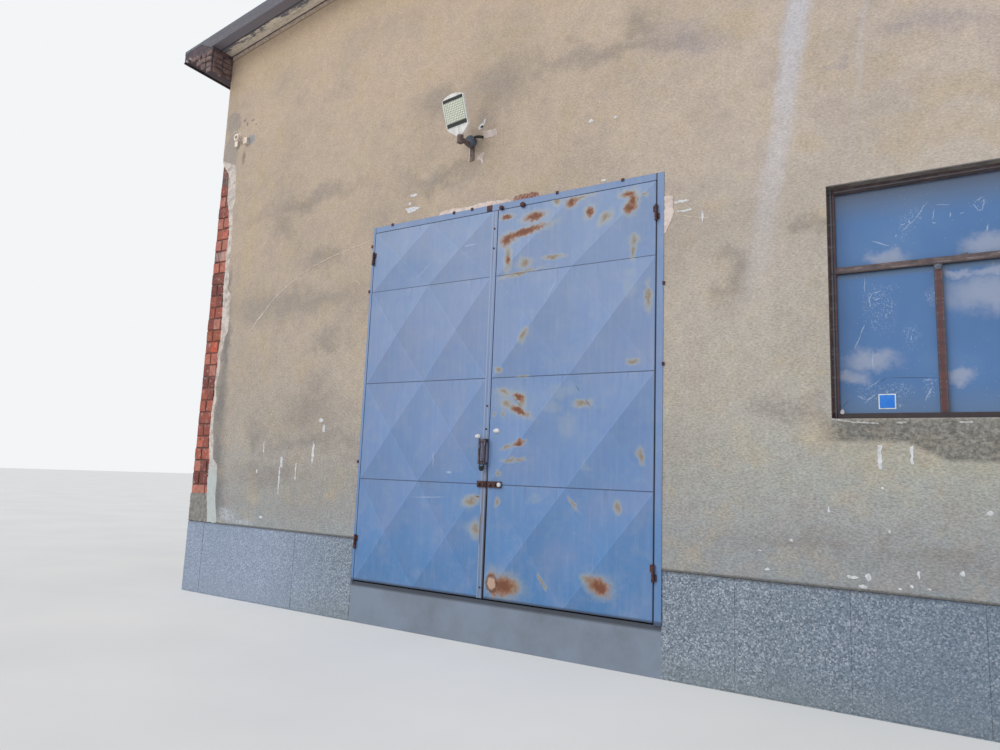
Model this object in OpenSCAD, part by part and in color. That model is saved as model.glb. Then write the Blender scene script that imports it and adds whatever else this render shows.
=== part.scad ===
// Factory hall: a rendered brick shed with a low sheet roof, a pair of steel
// gates in the gable, a wide window beside them and a lamp above.
// X runs along the gable, the gates face -Y, and Z is up from the lowest ground.
// The origin is the middle of the plan, on the underside of the floor.

/* [Hall] */
// Width over the side walls
hall_w = 12900; // [11500:50:16000]
// Length over the gable walls
hall_d = 16000; // [14500:50:24000]
// Height of the roof's underside at the side walls
eaves_h = 7030; // [6000:10:9000]
// Pitch of the roof in degrees
roof_pitch = 8.2; // [5:0.1:14]
// Thickness of a wall with its render
wall_t = 400; // [300:10:500]
// Thickness of the render on the front gable
render_t = 20; // [12:1:30]
// Height of the plinth
plinth_h = 831; // [700:1:1000]
// How far the plinth's face lies behind the render
plinth_inset = 8; // [3:1:15]
// Height of the floor above the lowest ground
floor_h = 400; // [250:10:600]

/* [Gate] */
// Left corner of the hall to the gate's frame
gate_from_corner = 2775; // [2200:5:3400]
// Width over the gate's frame
gate_w = 3300; // [3000:10:3600]
// Height of the gate's frame above the floor
gate_h = 3780; // [3500:10:4000]
// Face width of the left jamb
jamb_left_w = 30; // [28:1:60]
// Face width of the right jamb
jamb_right_w = 62; // [40:1:80]
// Face height of the head bar
head_bar_h = 62; // [40:1:80]
// Depth of the jambs and the head bar
frame_depth = 60; // [50:1:80]
// How far the gate's face stands proud of the render
gate_proud = 5; // [2:1:10]
// Frame's left edge to the line where the leaves meet
leaf_split = 1620; // [1500:5:1750]
// Clearance between a leaf and its frame
leaf_gap = 6; // [5:0.5:10]
// Clearance between the two leaves
meeting_gap = 8; // [6:0.5:12]
// Clearance between a leaf and the floor
leaf_lift = 15; // [8:1:30]
// Side of the square tubes in a leaf
leaf_tube = 40; // [30:1:50]
// Thickness of a leaf's sheets
sheet_t = 3; // [2:0.5:4]
// Height of the lowest seam above the floor
first_seam = 1045; // [900:5:1100]
// Height from seam to seam
seam_step = 1000; // [900:10:1100]
// Width of a seam between sheets
seam_w = 2; // [1:0.5:4]
// How far the cross-broken sheets stand out at their middles
sheet_rise = 12; // [6:1:18]
// Width of the cover strip on the left leaf
strip_w = 62; // [50:1:80]
// How far the cover strip stands proud of the sheets' edges
strip_proud = 2; // [1.5:0.5:4]

/* [Hinges and latch] */
// Radius of a hinge knuckle
knuckle_r = 13; // [10:0.5:16]
// Length of a hinge knuckle
knuckle_len = 70; // [50:1:90]
// Radius of a hinge pin
pin_r = 8; // [6:0.5:9]
// Height of the lower hinges above the floor
low_hinge_z = 400; // [300:10:600]
// Height of the upper hinges above the floor
high_hinge_z = 3420; // [3200:10:3500]
// Height of the latch bars above the floor
latch_z = 1045; // [950:5:1150]
// Height of the latch plates
latch_h = 58; // [40:1:70]
// Height of the pull handle's foot above the floor
handle_z = 1228; // [1180:1:1300]
// Height of the pull handle
handle_h = 238; // [200:1:300]
// Width of the pull handle
handle_w = 76; // [66:1:90]
// Thickness of the pull handle's bars
handle_bar = 16; // [12:1:18]
// Height of the blocks at the pull handle's ends
handle_block = 26; // [18:1:34]
// Width of the plate behind the pull handle
handle_plate_w = 92; // [91:1:96]
// Thickness of the plate behind the pull handle
handle_plate_t = 4; // [3:1:6]
// Finger room between the plate and the handle's bars
handle_room = 32; // [26:1:50]

/* [Windows] */
// Gate's frame to the front window
window_from_gate = 1271; // [1000:1:1500]
// Width of each window
window_w = 2820; // [2400:10:2900]
// Height of each window
window_h = 1778; // [1500:1:1900]
// Height of the window sills above the floor
sill_z = 1631; // [1400:1:1800]
// Depth of the window reveals
reveal = 90; // [40:1:120]
// Width of the window frames
frame_w = 46; // [30:1:60]
// Depth of the window frames
frame_d = 45; // [35:1:60]
// Width of the upright window bars
mullion_w = 54; // [35:1:60]
// Height of the cross bar
transom_h = 50; // [30:1:60]
// Height of the upper lights
upper_light_h = 626; // [500:1:750]
// Panes in a window's lower row
lower_panes = 4; // [2:2:6]
// Thickness of the glass
glass_t = 5; // [4:1:8]
// Windows in each side wall
side_windows = 3; // [1:1:3]
// Spacing of the side windows
side_window_pitch = 4900; // [4000:50:5200]
// Windows in the back wall
back_windows = 3; // [1:1:3]
// Spacing of the back windows
back_window_pitch = 3900; // [3300:50:4100]

/* [Roof] */
// Overhang of the roof beyond the side walls
eaves_out = 600; // [560:5:700]
// Overhang of the roof beyond the gables
verge_out = 320; // [260:5:400]
// Width of the soffit boards under the verges
board_w = 200; // [150:5:240]
// Thickness of the soffit boards
board_t = 25; // [18:1:35]
// Depth of the purlins
purlin_h = 100; // [80:5:140]
// Width of the purlins
purlin_w = 80; // [60:5:100]
// Purlins between each side wall and the ridge
purlins_inside = 6; // [4:1:9]
// Height of the roof sheet's ribs
rib_h = 35; // [25:1:50]
// Spacing of the roof sheet's ribs
rib_pitch = 320; // [200:10:400]
// Thickness of the roof sheet and of its trims
metal_t = 3; // [2:0.5:5]
// Width of each wing of the ridge cap
ridge_wing = 260; // [180:5:350]
// How far the verge flashing laps over the sheet
flashing_lap = 140; // [100:5:200]
// Height of one brick course in the cornice
course_h = 75; // [65:1:85]
// How far each course of the cornice steps out
corbel_step = 110; // [90:1:115]
// Full courses in the cornice
corbel_courses = 4; // [3:1:4]
// Bead along the foot of the eaves trim
bead_r = 10; // [6:1:20]
// How far the verge flashing's face runs past the side wall
flashing_end = 250; // [100:10:400]

/* [Trusses] */
// Trusses between the gables
truss_count = 2; // [1:1:4]
// Depth of a truss at the side walls
truss_end_h = 550; // [450:10:700]
// Width of a truss's bars
truss_bar = 90; // [70:5:120]
// Thickness of a truss
truss_t = 110; // [80:5:140]
// Panels in half a truss
truss_panels = 4; // [3:1:5]
// How far a truss is let into each side wall
truss_bearing = 150; // [100:5:200]

/* [Lamp and corner fittings] */
// Lamp's middle, left of the line where the leaves meet
lamp_left = 355; // [200:1:600]
// Height of the lamp's arm above the floor
lamp_arm_z = 4455; // [4200:5:4800]
// Wall to the middle of the upright pipe that holds the lamp
lamp_arm_len = 217; // [150:1:300]
// Radius of the lamp's arm
lamp_arm_r = 24; // [16:0.5:28]
// Radius of the round joint between the arm and the wall
lamp_joint_r = 46; // [38:1:60]
// Radius of the upright pipe
lamp_pipe_r = 33; // [26:1:40]
// Length of the upright pipe
lamp_pipe_len = 78; // [60:1:120]
// Tilt of the lamp head out of the upright, in degrees
lamp_tilt = 19.8; // [10:0.1:40]
// Turn of the lamp head to the left, in degrees
lamp_turn = 7.9; // [0:0.1:20]
// Width of the lamp head
lamp_w = 289; // [220:1:340]
// Length of the lamp head's light field
lamp_field = 274; // [220:1:340]
// Length of the lamp head's tapered neck
lamp_neck = 98; // [80:1:150]
// Thickness of the lamp head
lamp_t = 28; // [22:1:40]
// Middle of the round cable holder from the left corner
holder_from_corner = 270; // [200:5:320]
// Height of the round cable holder above the floor
holder_z = 5405; // [5200:5:5600]
// Outer radius of the round cable holder
holder_r = 56; // [48:1:66]

/* [Hidden] */
$fn = 32;

half_w = hall_w / 2;
half_d = hall_d / 2;
front = -half_d;
slope = tan(roof_pitch);
// Seat left between pieces that lie on each other's curved faces
seat = 0.3;

gate_x0 = gate_from_corner - half_w;
gate_x1 = gate_x0 + gate_w;
gate_top = floor_h + gate_h;
gate_face = front - gate_proud;
split_x = gate_x0 + leaf_split;
leaf_z0 = floor_h + leaf_lift;
leaf_z1 = gate_top - head_bar_h - leaf_gap;
left_x0 = gate_x0 + jamb_left_w + leaf_gap;
left_x1 = split_x - meeting_gap / 2;
right_x0 = split_x + meeting_gap / 2;
right_x1 = gate_x1 - jamb_right_w - leaf_gap;
tube_face = gate_face + sheet_t;
seams = [for (z = [first_seam : seam_step : gate_h - head_bar_h - leaf_gap - 200]) floor_h + z];
rows = concat([leaf_z0], seams, [leaf_z1]);

hinge_y = gate_face - knuckle_r - seat;
hinge_left_x = left_x0 - leaf_gap / 2;
hinge_right_x = right_x1 + leaf_gap / 2;
bore_clearance = 0.05;

window_x0 = gate_x1 + window_from_gate;
sill = floor_h + sill_z;
lintel = sill + window_h;

// Height of the roof's underside at a distance from the middle
function underside(x) = eaves_h + (half_w - abs(x)) * slope;
// Middle of opening k in a row of n at a pitch
function opening_mid(k, n, pitch) = (k - (n - 1) / 2) * pitch;

wall_top = board_t;
sheet_base = board_t + purlin_h;
sheet_top = sheet_base + (rib_h + metal_t) / cos(roof_pitch) + seat;
flashing_top = sheet_top + metal_t;
eaves_x = half_w + eaves_out;
ridge_joint = 3;
ridge_mid = 130;

lamp_x = split_x - lamp_left;

// A block between two corners
module block(low, high) {
    translate(low) cube(high - low);
}

// A shape drawn in X and Z, extruded from y0 to y1
module across(y0, y1) {
    translate([0, y1, 0]) rotate([90, 0, 0]) linear_extrude(height = y1 - y0) children();
}

// The same piece on the left and on the right
module both_sides() {
    children();
    mirror([1, 0, 0]) children();
}

// The same piece at the front and at the back
module both_ends() {
    children();
    mirror([0, 1, 0]) children();
}

// A band that follows the roof's slope, from x0 to x1 on the right side
module slope_band(x0, x1, low, high) {
    polygon([[x0, underside(x0) + low], [x1, underside(x1) + low],
             [x1, underside(x1) + high], [x0, underside(x0) + high]]);
}

// A straight bar between two points in a drawing
module bar(a, b, w) {
    translate(a) rotate(atan2(b[1] - a[1], b[0] - a[0])) translate([0, -w / 2]) square([norm(b - a), w]);
}

module floor_slab() {
    color("#8b8882") {
        block([wall_t - half_w, front + wall_t, 0], [half_w - wall_t, half_d - wall_t, floor_h]);
        block([gate_x0, front + plinth_inset, 0], [gate_x1, front + wall_t, floor_h]);
    }
}

module plinth_front_left() {
    color("#9a978f")
        block([plinth_inset - half_w, front + plinth_inset, 0], [gate_x0, front + wall_t, plinth_h]);
}

module plinth_front_right() {
    color("#9a978f")
        block([gate_x1, front + plinth_inset, 0], [half_w - plinth_inset, front + wall_t, plinth_h]);
}

module plinth_sides() {
    color("#9a978f") both_sides()
        block([half_w - wall_t, front + wall_t, 0], [half_w - plinth_inset, half_d - wall_t, plinth_h]);
}

module plinth_back() {
    color("#9a978f")
        block([plinth_inset - half_w, half_d - wall_t, 0], [half_w - plinth_inset, half_d - plinth_inset, plinth_h]);
}

// Brickwork beside the gate and beside the window
module front_wall_piers() {
    color("#a5563f") {
        front_brick(-half_w, gate_x0, plinth_h, gate_top);
        front_brick(gate_x1, window_x0, plinth_h, gate_top);
        front_brick(window_x0 + window_w, half_w, plinth_h, gate_top);
    }
}

module front_brick(x0, x1, z0, z1) {
    block([x0, front + render_t, z0], [x1, front + wall_t, z1]);
}

// Brickwork under and over the window
module front_window_bay() {
    color("#a5563f") {
        front_brick(window_x0, window_x0 + window_w, plinth_h, sill);
        front_brick(window_x0, window_x0 + window_w, lintel, gate_top);
    }
}

module gable_outline(z0) {
    polygon([[-half_w, z0], [half_w, z0], [half_w, eaves_h + wall_top],
             [0, underside(0) + wall_top], [-half_w, eaves_h + wall_top]]);
}

module front_gable() {
    color("#a5563f") across(front + render_t, front + wall_t) gable_outline(gate_top);
}

// Torn edge of the render at the left corner: distance in from the corner, height above the floor
torn_edge = [[0, 5150], [90, 5110], [190, 5070], [280, 5010], [298, 4930], [302, 4830], [316, 4630],
             [333, 4550], [299, 4440], [314, 4290], [333, 4100], [340, 3810], [326, 3620], [362, 3470],
             [342, 3360], [432, 3255], [413, 3145], [440, 2960], [430, 2795], [384, 2725], [363, 2590],
             [326, 2510], [348, 2360], [332, 2225], [302, 2145], [317, 2000], [339, 1945], [312, 1840],
             [319, 1570], [355, 1425], [374, 1205], [464, 1135], [486, 950], [485, 775], [516, 605],
             [540, 520]];

// Render on the front gable, with its torn left edge
module front_render() {
    torn = [for (p = torn_edge) [p[0] - half_w, p[1] + floor_h]];
    foot = [torn_edge[len(torn_edge) - 1][0] + 15 - half_w, plinth_h];
    color("#b8a283") across(front, front + render_t) difference() {
        polygon(concat([[0, underside(0) + wall_top], [-half_w, eaves_h + wall_top]], torn,
                       [foot, [half_w, plinth_h], [half_w, eaves_h + wall_top]]));
        translate([gate_x0, 0]) square([gate_w, gate_top]);
        translate([window_x0, sill]) square([window_w, window_h]);
    }
}

module side_walls_lower() {
    color("#b8a283") both_sides()
        block([half_w - wall_t, front + wall_t, plinth_h], [half_w, half_d - wall_t, sill]);
}

module side_wall_piers() {
    color("#b8a283") both_sides()
        for (k = [0 : side_windows]) {
            low = k == 0 ? front + wall_t : opening_mid(k - 1, side_windows, side_window_pitch) + window_w / 2;
            high = k == side_windows ? half_d - wall_t
                 : opening_mid(k, side_windows, side_window_pitch) - window_w / 2;
            block([half_w - wall_t, low, sill], [half_w, high, lintel]);
        }
}

// Upper side walls, with a pocket for each truss
module side_walls_upper() {
    color("#b8a283") both_sides() difference() {
        across(front + wall_t, half_d - wall_t)
            polygon([[half_w - wall_t, lintel], [half_w, lintel], [half_w, eaves_h + wall_top],
                     [half_w - wall_t, underside(half_w - wall_t) + wall_top]]);
        at_trusses()
            block([half_w - wall_t - 1, -truss_t / 2, truss_seat_z],
                  [half_w - wall_t + truss_bearing, truss_t / 2, underside(half_w - wall_t) + wall_top + 1]);
    }
}

truss_seat_z = underside(half_w - wall_t + truss_bearing) + wall_top - truss_bar;

module at_trusses() {
    for (k = [1 : truss_count])
        translate([0, front + wall_t + k * (hall_d - 2 * wall_t) / (truss_count + 1), 0]) children();
}

module back_wall_lower() {
    color("#b8a283") block([-half_w, half_d - wall_t, plinth_h], [half_w, half_d, sill]);
}

module back_wall_piers() {
    color("#b8a283")
        for (k = [0 : back_windows]) {
            low = k == 0 ? -half_w : opening_mid(k - 1, back_windows, back_window_pitch) + window_w / 2;
            high = k == back_windows ? half_w
                 : opening_mid(k, back_windows, back_window_pitch) - window_w / 2;
            block([low, half_d - wall_t, sill], [high, half_d, lintel]);
        }
}

module back_gable() {
    color("#b8a283") across(half_d - wall_t, half_d) gable_outline(lintel);
}

cornice_foot = eaves_h - corbel_courses * course_h - 60;
cornice_tip = half_w + (corbel_courses + 1) * corbel_step - 10;

// Outline of the stepped courses in X and Z, closed over its last step by more points
function cornice_outline(closing) = concat(
    [[half_w, cornice_foot]],
    [for (i = [0 : corbel_courses], rise = i < corbel_courses ? [0, 1] : [0])
        [min(cornice_tip, half_w + (i + 1) * corbel_step), cornice_foot + (i + rise) * course_h]],
    closing);

// Brick courses that step out under the eaves, and close the roof's corners beyond the gables
module eaves_cornices() {
    lip = eaves_x - metal_t - 0.5;
    under_sheet = sheet_base - purlin_seat;
    color("#94503c") both_sides() {
        across(front + render_t, half_d)
            polygon(cornice_outline([[cornice_tip, underside(cornice_tip) + wall_top],
                                     [half_w, eaves_h + wall_top]]));
        both_ends() across(front - verge_out + metal_t, front + render_t)
            polygon(cornice_outline([[lip, min(eaves_h - 60, underside(lip) + wall_top)],
                                     [lip, underside(lip) + under_sheet],
                                     [half_w, eaves_h + under_sheet]]));
    }
}

// Soffit boards under the verges
module verge_boards() {
    color("#cfc8b4") both_ends() both_sides() across(front - board_w, front)
        slope_band(ridge_joint / 2, half_w, 0, board_t);
}

// Folded metal over the verges: a foot, a face and a lap over the sheet
module verge_flashings() {
    edge = front - verge_out;
    start = ridge_joint / 2;
    foot_end = half_w + flashing_end / 5;
    face_end = half_w + flashing_end;
    color("#77757d") both_ends() both_sides() {
        across(edge, front - board_w) slope_band(start, half_w, 0, metal_t);
        across(edge, edge + metal_t)
            polygon([[start, underside(start)], [foot_end, underside(foot_end)],
                     [face_end, underside(face_end) + sheet_base], [eaves_x, underside(eaves_x) + sheet_base],
                     [eaves_x, underside(eaves_x) + flashing_top], [start, underside(start) + flashing_top]]);
        across(edge, edge + flashing_lap) slope_band(start, eaves_x, sheet_top, flashing_top);
    }
}

// Trim along the eaves with its rolled foot
module eaves_trims() {
    face = eaves_x - metal_t;
    foot = underside(eaves_x) + bead_r / 2;
    color("#77757d") both_sides() {
        block([face, front - verge_out + metal_t, foot],
              [eaves_x, half_d + verge_out - metal_t, underside(eaves_x) + sheet_base]);
        across(front - verge_out + metal_t, half_d + verge_out - metal_t)
            translate([eaves_x + bead_r - metal_t, foot]) circle(r = bead_r, $fn = 24);
    }
}

// Profiled sheet on the right slope, drawn as height and place along the eaves
module roof_sheet() {
    length = hall_d + 2 * verge_out - 2 * metal_t;
    ribs = floor(length / rib_pitch);
    start = -(ribs - 1) / 2 * rib_pitch;
    foot = rib_pitch * 0.2;
    crown = rib_pitch * 0.1;
    upper = [for (k = [0 : ribs - 1], p = [[-foot, 0], [-crown, rib_h], [crown, rib_h], [foot, 0]])
             [-metal_t - p[1], start + k * rib_pitch + p[0]]];
    lower = [for (k = [ribs - 1 : -1 : 0], p = [[foot, 0], [crown, rib_h], [-crown, rib_h], [-foot, 0]])
             [-p[1], start + k * rib_pitch + p[0] * 0.94]];
    translate([0, 0, underside(0) + sheet_base]) rotate([0, 90 + roof_pitch, 0])
        linear_extrude(height = eaves_x / cos(roof_pitch) + 12)
            polygon(concat([[-metal_t, -length / 2]], upper, [[-metal_t, length / 2], [0, length / 2]],
                           lower, [[0, -length / 2]]));
}

module roof_right() {
    color("#8d8f93") difference() {
        roof_sheet();
        block([-ridge_mid, -hall_d, 0], [2, hall_d, 2 * eaves_h]);
    }
}

module roof_left() {
    color("#8d8f93") mirror([1, 0, 0]) difference() {
        roof_sheet();
        block([-ridge_mid, -hall_d, 0], [2, hall_d, 2 * eaves_h]);
    }
}

// Folded cap over the ridge
module ridge_cap() {
    low = flashing_top + seat;
    color("#77757d") across(front - verge_out, half_d + verge_out)
        polygon([[0, underside(0) + low], [ridge_wing, underside(ridge_wing) + low],
                 [ridge_wing, underside(ridge_wing) + low + metal_t], [0, underside(0) + low + metal_t],
                 [-ridge_wing, underside(ridge_wing) + low + metal_t], [-ridge_wing, underside(ridge_wing) + low]]);
}

// Seat left under and over a purlin, because it lies on sloping faces
purlin_seat = 0.1;
purlin_first = half_w - wall_t / 2;
purlin_step = (purlin_first - ridge_mid) / purlins_inside;

// A purlin at a distance from the middle, between the gables' planes plus what it runs past them
module purlin(x, past) {
    across(front - past, half_d + past)
        slope_band(x - purlin_w / 2, x + purlin_w / 2, board_t + purlin_seat, sheet_base - purlin_seat);
}

module purlins() {
    color("#7d6a52") both_sides() {
        purlin(eaves_x - metal_t - purlin_w / 2, -render_t);
        for (i = [0 : purlins_inside]) purlin(purlin_first - i * purlin_step, verge_out - metal_t);
    }
}

// One truss, drawn in X and Z
module truss_outline() {
    inside = half_w - wall_t;
    reach = inside + truss_bearing;
    chord_z = eaves_h - truss_end_h;
    step = (inside - truss_bar / 2 - 5) / truss_panels;
    function top_z(x) = underside(x) + wall_top - truss_bar / 2 / cos(roof_pitch);
    both_sides() {
        slope_band(0, reach, wall_top - truss_bar, wall_top);
        for (i = [0 : truss_panels]) bar([i * step, chord_z], [i * step, top_z(i * step)], truss_bar * 0.7);
        for (i = [1 : truss_panels])
            bar([i * step, chord_z], [(i - 1) * step, top_z((i - 1) * step)], truss_bar * 0.6);
    }
    translate([5 - inside, chord_z - truss_bar / 2]) square([2 * inside - 10, truss_bar]);
}

module roof_trusses() {
    color("#6d6f70") at_trusses() across(-truss_t / 2, truss_t / 2) intersection() {
        truss_outline();
        polygon([[-half_w, 0], [half_w, 0], [half_w, underside(half_w) + wall_top],
                 [0, underside(0) + wall_top], [-half_w, underside(half_w) + wall_top]]);
    }
}

// One window frame, with its lower left corner at the origin and its face towards -Y
module window_frame() {
    transom_z = window_h - upper_light_h - transom_h;
    bar_d = frame_d - glass_t - 10;
    difference() {
        cube([window_w, frame_d, window_h]);
        translate([frame_w, -1, frame_w])
            cube([window_w - 2 * frame_w, frame_d + 2, window_h - 2 * frame_w]);
    }
    translate([frame_w, 0, transom_z]) cube([window_w - 2 * frame_w, bar_d, transom_h]);
    pane = window_w / lower_panes;
    for (k = [1 : lower_panes - 1])
        translate([k * pane - mullion_w / 2, 0, frame_w]) cube([mullion_w, bar_d, transom_z - frame_w]);
    translate([(window_w - mullion_w) / 2, 0, transom_z + transom_h])
        cube([mullion_w, bar_d, window_h - transom_z - transom_h - frame_w]);
}

// One sheet of glass that closes a window behind its bars
module window_sheet() {
    translate([frame_w, frame_d - glass_t - 10, frame_w])
        cube([window_w - 2 * frame_w, glass_t, window_h - 2 * frame_w]);
}

module at_front_window() {
    translate([window_x0, front + reveal, sill]) children();
}

module at_side_windows() {
    for (k = [0 : side_windows - 1]) {
        mid = opening_mid(k, side_windows, side_window_pitch);
        translate([reveal - half_w, mid + window_w / 2, sill]) rotate([0, 0, -90]) children();
        translate([half_w - reveal, mid - window_w / 2, sill]) rotate([0, 0, 90]) children();
    }
}

module at_back_windows() {
    for (k = [0 : back_windows - 1])
        translate([opening_mid(k, back_windows, back_window_pitch) + window_w / 2, half_d - reveal, sill])
            rotate([0, 0, 180]) children();
}

module front_window_frame() {
    color("#5b4438") at_front_window() window_frame();
}

module side_and_back_window_frames() {
    color("#5b4438") {
        at_side_windows() window_frame();
        at_back_windows() window_frame();
    }
}

module window_glass() {
    color("#5f86b5") {
        at_front_window() window_sheet();
        at_side_windows() window_sheet();
        at_back_windows() window_sheet();
    }
}

module gate_jambs() {
    color("#8496b4") {
        block([gate_x0, gate_face, floor_h],
              [gate_x0 + jamb_left_w, gate_face + frame_depth, gate_top - head_bar_h]);
        block([gate_x1 - jamb_right_w, gate_face, floor_h],
              [gate_x1, gate_face + frame_depth, gate_top - head_bar_h]);
    }
}

module gate_head() {
    color("#8496b4") block([gate_x0, gate_face, gate_top - head_bar_h], [gate_x1, gate_face + frame_depth, gate_top]);
}

// A knuckle with the ear that is welded beside it; side is 1 or -1
module knuckle(side) {
    cylinder(r = knuckle_r, h = knuckle_len);
    ear = 28;
    ear_t = 6;
    ear_face = knuckle_r - ear_t - 1;
    translate([side > 0 ? 0 : -ear, ear_face, 8]) cube([ear, ear_t, knuckle_len - 16]);
}

// The fixed half of a hinge: lower knuckle and pin
module hinge_pin(side) {
    translate([0, 0, -knuckle_len]) knuckle(side);
    cylinder(r = pin_r, h = knuckle_len - 6);
}

// The moving half of a hinge: upper knuckle with its bore
module hinge_sleeve(side) {
    translate([0, 0, 1]) difference() {
        knuckle(side);
        translate([0, 0, -1]) cylinder(r = pin_r + bore_clearance, h = knuckle_len + 2);
    }
}

module gate_hinge_pins() {
    color("#6b4a3a") for (z = [low_hinge_z, high_hinge_z]) {
        translate([hinge_left_x, hinge_y, floor_h + z]) hinge_pin(-1);
        translate([hinge_right_x, hinge_y, floor_h + z]) hinge_pin(1);
    }
}

module left_leaf_hinges() {
    color("#6b4a3a") for (z = [low_hinge_z, high_hinge_z])
        translate([hinge_left_x, hinge_y, floor_h + z]) hinge_sleeve(1);
}

module right_leaf_hinges() {
    color("#6b4a3a") for (z = [low_hinge_z, high_hinge_z])
        translate([hinge_right_x, hinge_y, floor_h + z]) hinge_sleeve(-1);
}

// Welded tubes behind a leaf's sheets, from x0 to x1
module leaf_frame(x0, x1, sheets_mid) {
    low = tube_face;
    high = tube_face + leaf_tube;
    block([x0, low, leaf_z0], [x0 + leaf_tube, high, leaf_z1]);
    block([x1 - leaf_tube, low, leaf_z0], [x1, high, leaf_z1]);
    block([sheets_mid - leaf_tube / 2, low, leaf_z0], [sheets_mid + leaf_tube / 2, high, leaf_z1]);
    block([x0, low, leaf_z0], [x1, high, leaf_z0 + leaf_tube]);
    block([x0, low, leaf_z1 - leaf_tube], [x1, high, leaf_z1]);
    for (z = seams) block([x0, low, z - leaf_tube / 2], [x1, high, z + leaf_tube / 2]);
}

// A sheet of width w and height h, creased corner to corner in each of its bays
module cross_broken_sheet(w, h, bays) {
    side = 3 * bays + 2;
    pitch = w / bays;
    function face(y) = concat([for (i = [0 : bays]) [i * pitch, y, 0]],
                              [for (i = [0 : bays]) [i * pitch, y, h]],
                              [for (i = [0 : bays - 1]) [(i + 0.5) * pitch, y - sheet_rise, h / 2]]);
    low = function (i) i;
    high = function (i) bays + 1 + i;
    peak = function (i) 2 * bays + 2 + i;
    front_faces = [for (i = [0 : bays - 1]) each [[low(i), high(i), peak(i)],
                                                  [high(i), high(i + 1), peak(i)],
                                                  [high(i + 1), low(i + 1), peak(i)],
                                                  [low(i + 1), low(i), peak(i)]]];
    back_faces = [for (f = front_faces) [f[2] + side, f[1] + side, f[0] + side]];
    edges = [for (i = [0 : bays - 1]) each [[low(i + 1), low(i + 1) + side, low(i) + side, low(i)],
                                            [high(i), high(i) + side, high(i + 1) + side, high(i + 1)]]];
    ends = [[side, high(0) + side, high(0), 0],
            [low(bays), high(bays), high(bays) + side, low(bays) + side]];
    polyhedron(concat(face(0), face(sheet_t)), concat(front_faces, back_faces, edges, ends));
}

module leaf_sheets(x0, x1) {
    for (k = [0 : len(rows) - 2]) {
        low = rows[k] + (k == 0 ? 0 : seam_w / 2);
        high = rows[k + 1] - (k == len(rows) - 2 ? 0 : seam_w / 2);
        translate([x0, gate_face, low]) cross_broken_sheet(x1 - x0, high - low, 2);
    }
}

left_sheets_x1 = left_x1 - strip_w - 1;

module left_leaf_frame() {
    color("#7488aa") leaf_frame(left_x0, left_x1, (left_x0 + left_sheets_x1) / 2);
}

module left_leaf_sheets() {
    color("#8496b4") leaf_sheets(left_x0, left_sheets_x1);
}

module right_leaf_frame() {
    color("#7488aa") leaf_frame(right_x0, right_x1, (right_x0 + right_x1) / 2);
}

module right_leaf_sheets() {
    color("#8496b4") leaf_sheets(right_x0, right_x1);
}

strip_face = gate_face - strip_proud;

module cover_strip() {
    color("#8496b4") block([left_x1 - strip_w, strip_face, leaf_z0], [left_x1, tube_face, leaf_z1]);
}

plate_face = strip_face - handle_plate_t;
handle_x1 = left_x1 - 2;
handle_x0 = handle_x1 - handle_w;
handle_face = plate_face - handle_room - handle_bar;

// Pull handle: a rectangular loop that stands off its plate on two end blocks
module pull_handle() {
    color("#5d3a2c") translate([0, 0, floor_h + handle_z]) {
        block([handle_x1 - handle_plate_w, plate_face, 0], [handle_x1, strip_face, handle_h]);
        for (x = [handle_x0, handle_x1 - handle_bar])
            block([x, handle_face, 0], [x + handle_bar, handle_face + handle_bar, handle_h]);
        block([handle_x0, handle_face, 0], [handle_x1, handle_face + handle_bar, handle_bar]);
        block([handle_x0, handle_face, handle_h - handle_block], [handle_x1, plate_face, handle_h]);
        for (x = [handle_x0, handle_x1 - handle_bar])
            block([x, handle_face, 0], [x + handle_bar, plate_face, handle_bar]);
    }
}

shackle_out = 23;
shackle_in = 15;
shackle_t = 8;
lock_turn = 38;
lock_w = 46;
lock_t = 24;

// Padlock that hangs from the handle's foot bar, its shackle on the bar's upper edges
module padlock() {
    step = 15;
    drop = 26;
    half_bar = (handle_bar / 2 + shackle_t / 2 * sin(lock_turn)) / cos(lock_turn);
    rest = sqrt(max(pow(shackle_in * cos(step / 2), 2) - pow(half_bar, 2), 1));
    arc = [for (a = [0 : step : 180]) [cos(a), sin(a)]];
    back = [for (a = [180 : -step : 0]) [cos(a), sin(a)]];
    color("#4c4a49") translate([(handle_x0 + handle_x1) / 2, handle_face + handle_bar / 2,
                                floor_h + handle_z + handle_bar + seat - rest]) rotate([0, 0, 90 - lock_turn]) {
        across(-shackle_t / 2, shackle_t / 2)
            polygon(concat([for (p = arc) p * shackle_out], [[-shackle_out, -drop - 3], [-shackle_in, -drop - 3]],
                           [for (p = back) p * shackle_in], [[shackle_in, -drop - 3], [shackle_out, -drop - 3]]));
        across(-lock_t / 2, lock_t / 2)
            translate([0, -drop]) polygon([for (c = [[-0.52, 0], [0.52, 0], [0.52, -0.52], [0.33, -0.86],
                                                     [0.14, -1], [-0.14, -1], [-0.33, -0.86], [-0.52, -0.52]])
                                           c * lock_w]);
    }
}

latch_t = 12;
latch_face = strip_face - seat - latch_t;
latch_rise = sheet_rise * latch_h / seam_step;

// The latch is in two halves, one on each leaf
module latch_left() {
    color("#5d3a2c") block([left_x1 - 104, latch_face, floor_h + latch_z - latch_h / 2],
                           [left_x1 - 4, latch_face + latch_t, floor_h + latch_z + latch_h / 2]);
}

module latch_right() {
    color("#5d3a2c") block([right_x0 + 4, latch_face, floor_h + latch_z - latch_h / 2],
                           [right_x0 + 152, gate_face - latch_rise - seat, floor_h + latch_z + latch_h / 2]);
}

bracket_w = 64;
bracket_t = 8;
joint_len = 60;
pipe_top = floor_h + lamp_arm_z + lamp_arm_r + 2;

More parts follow.
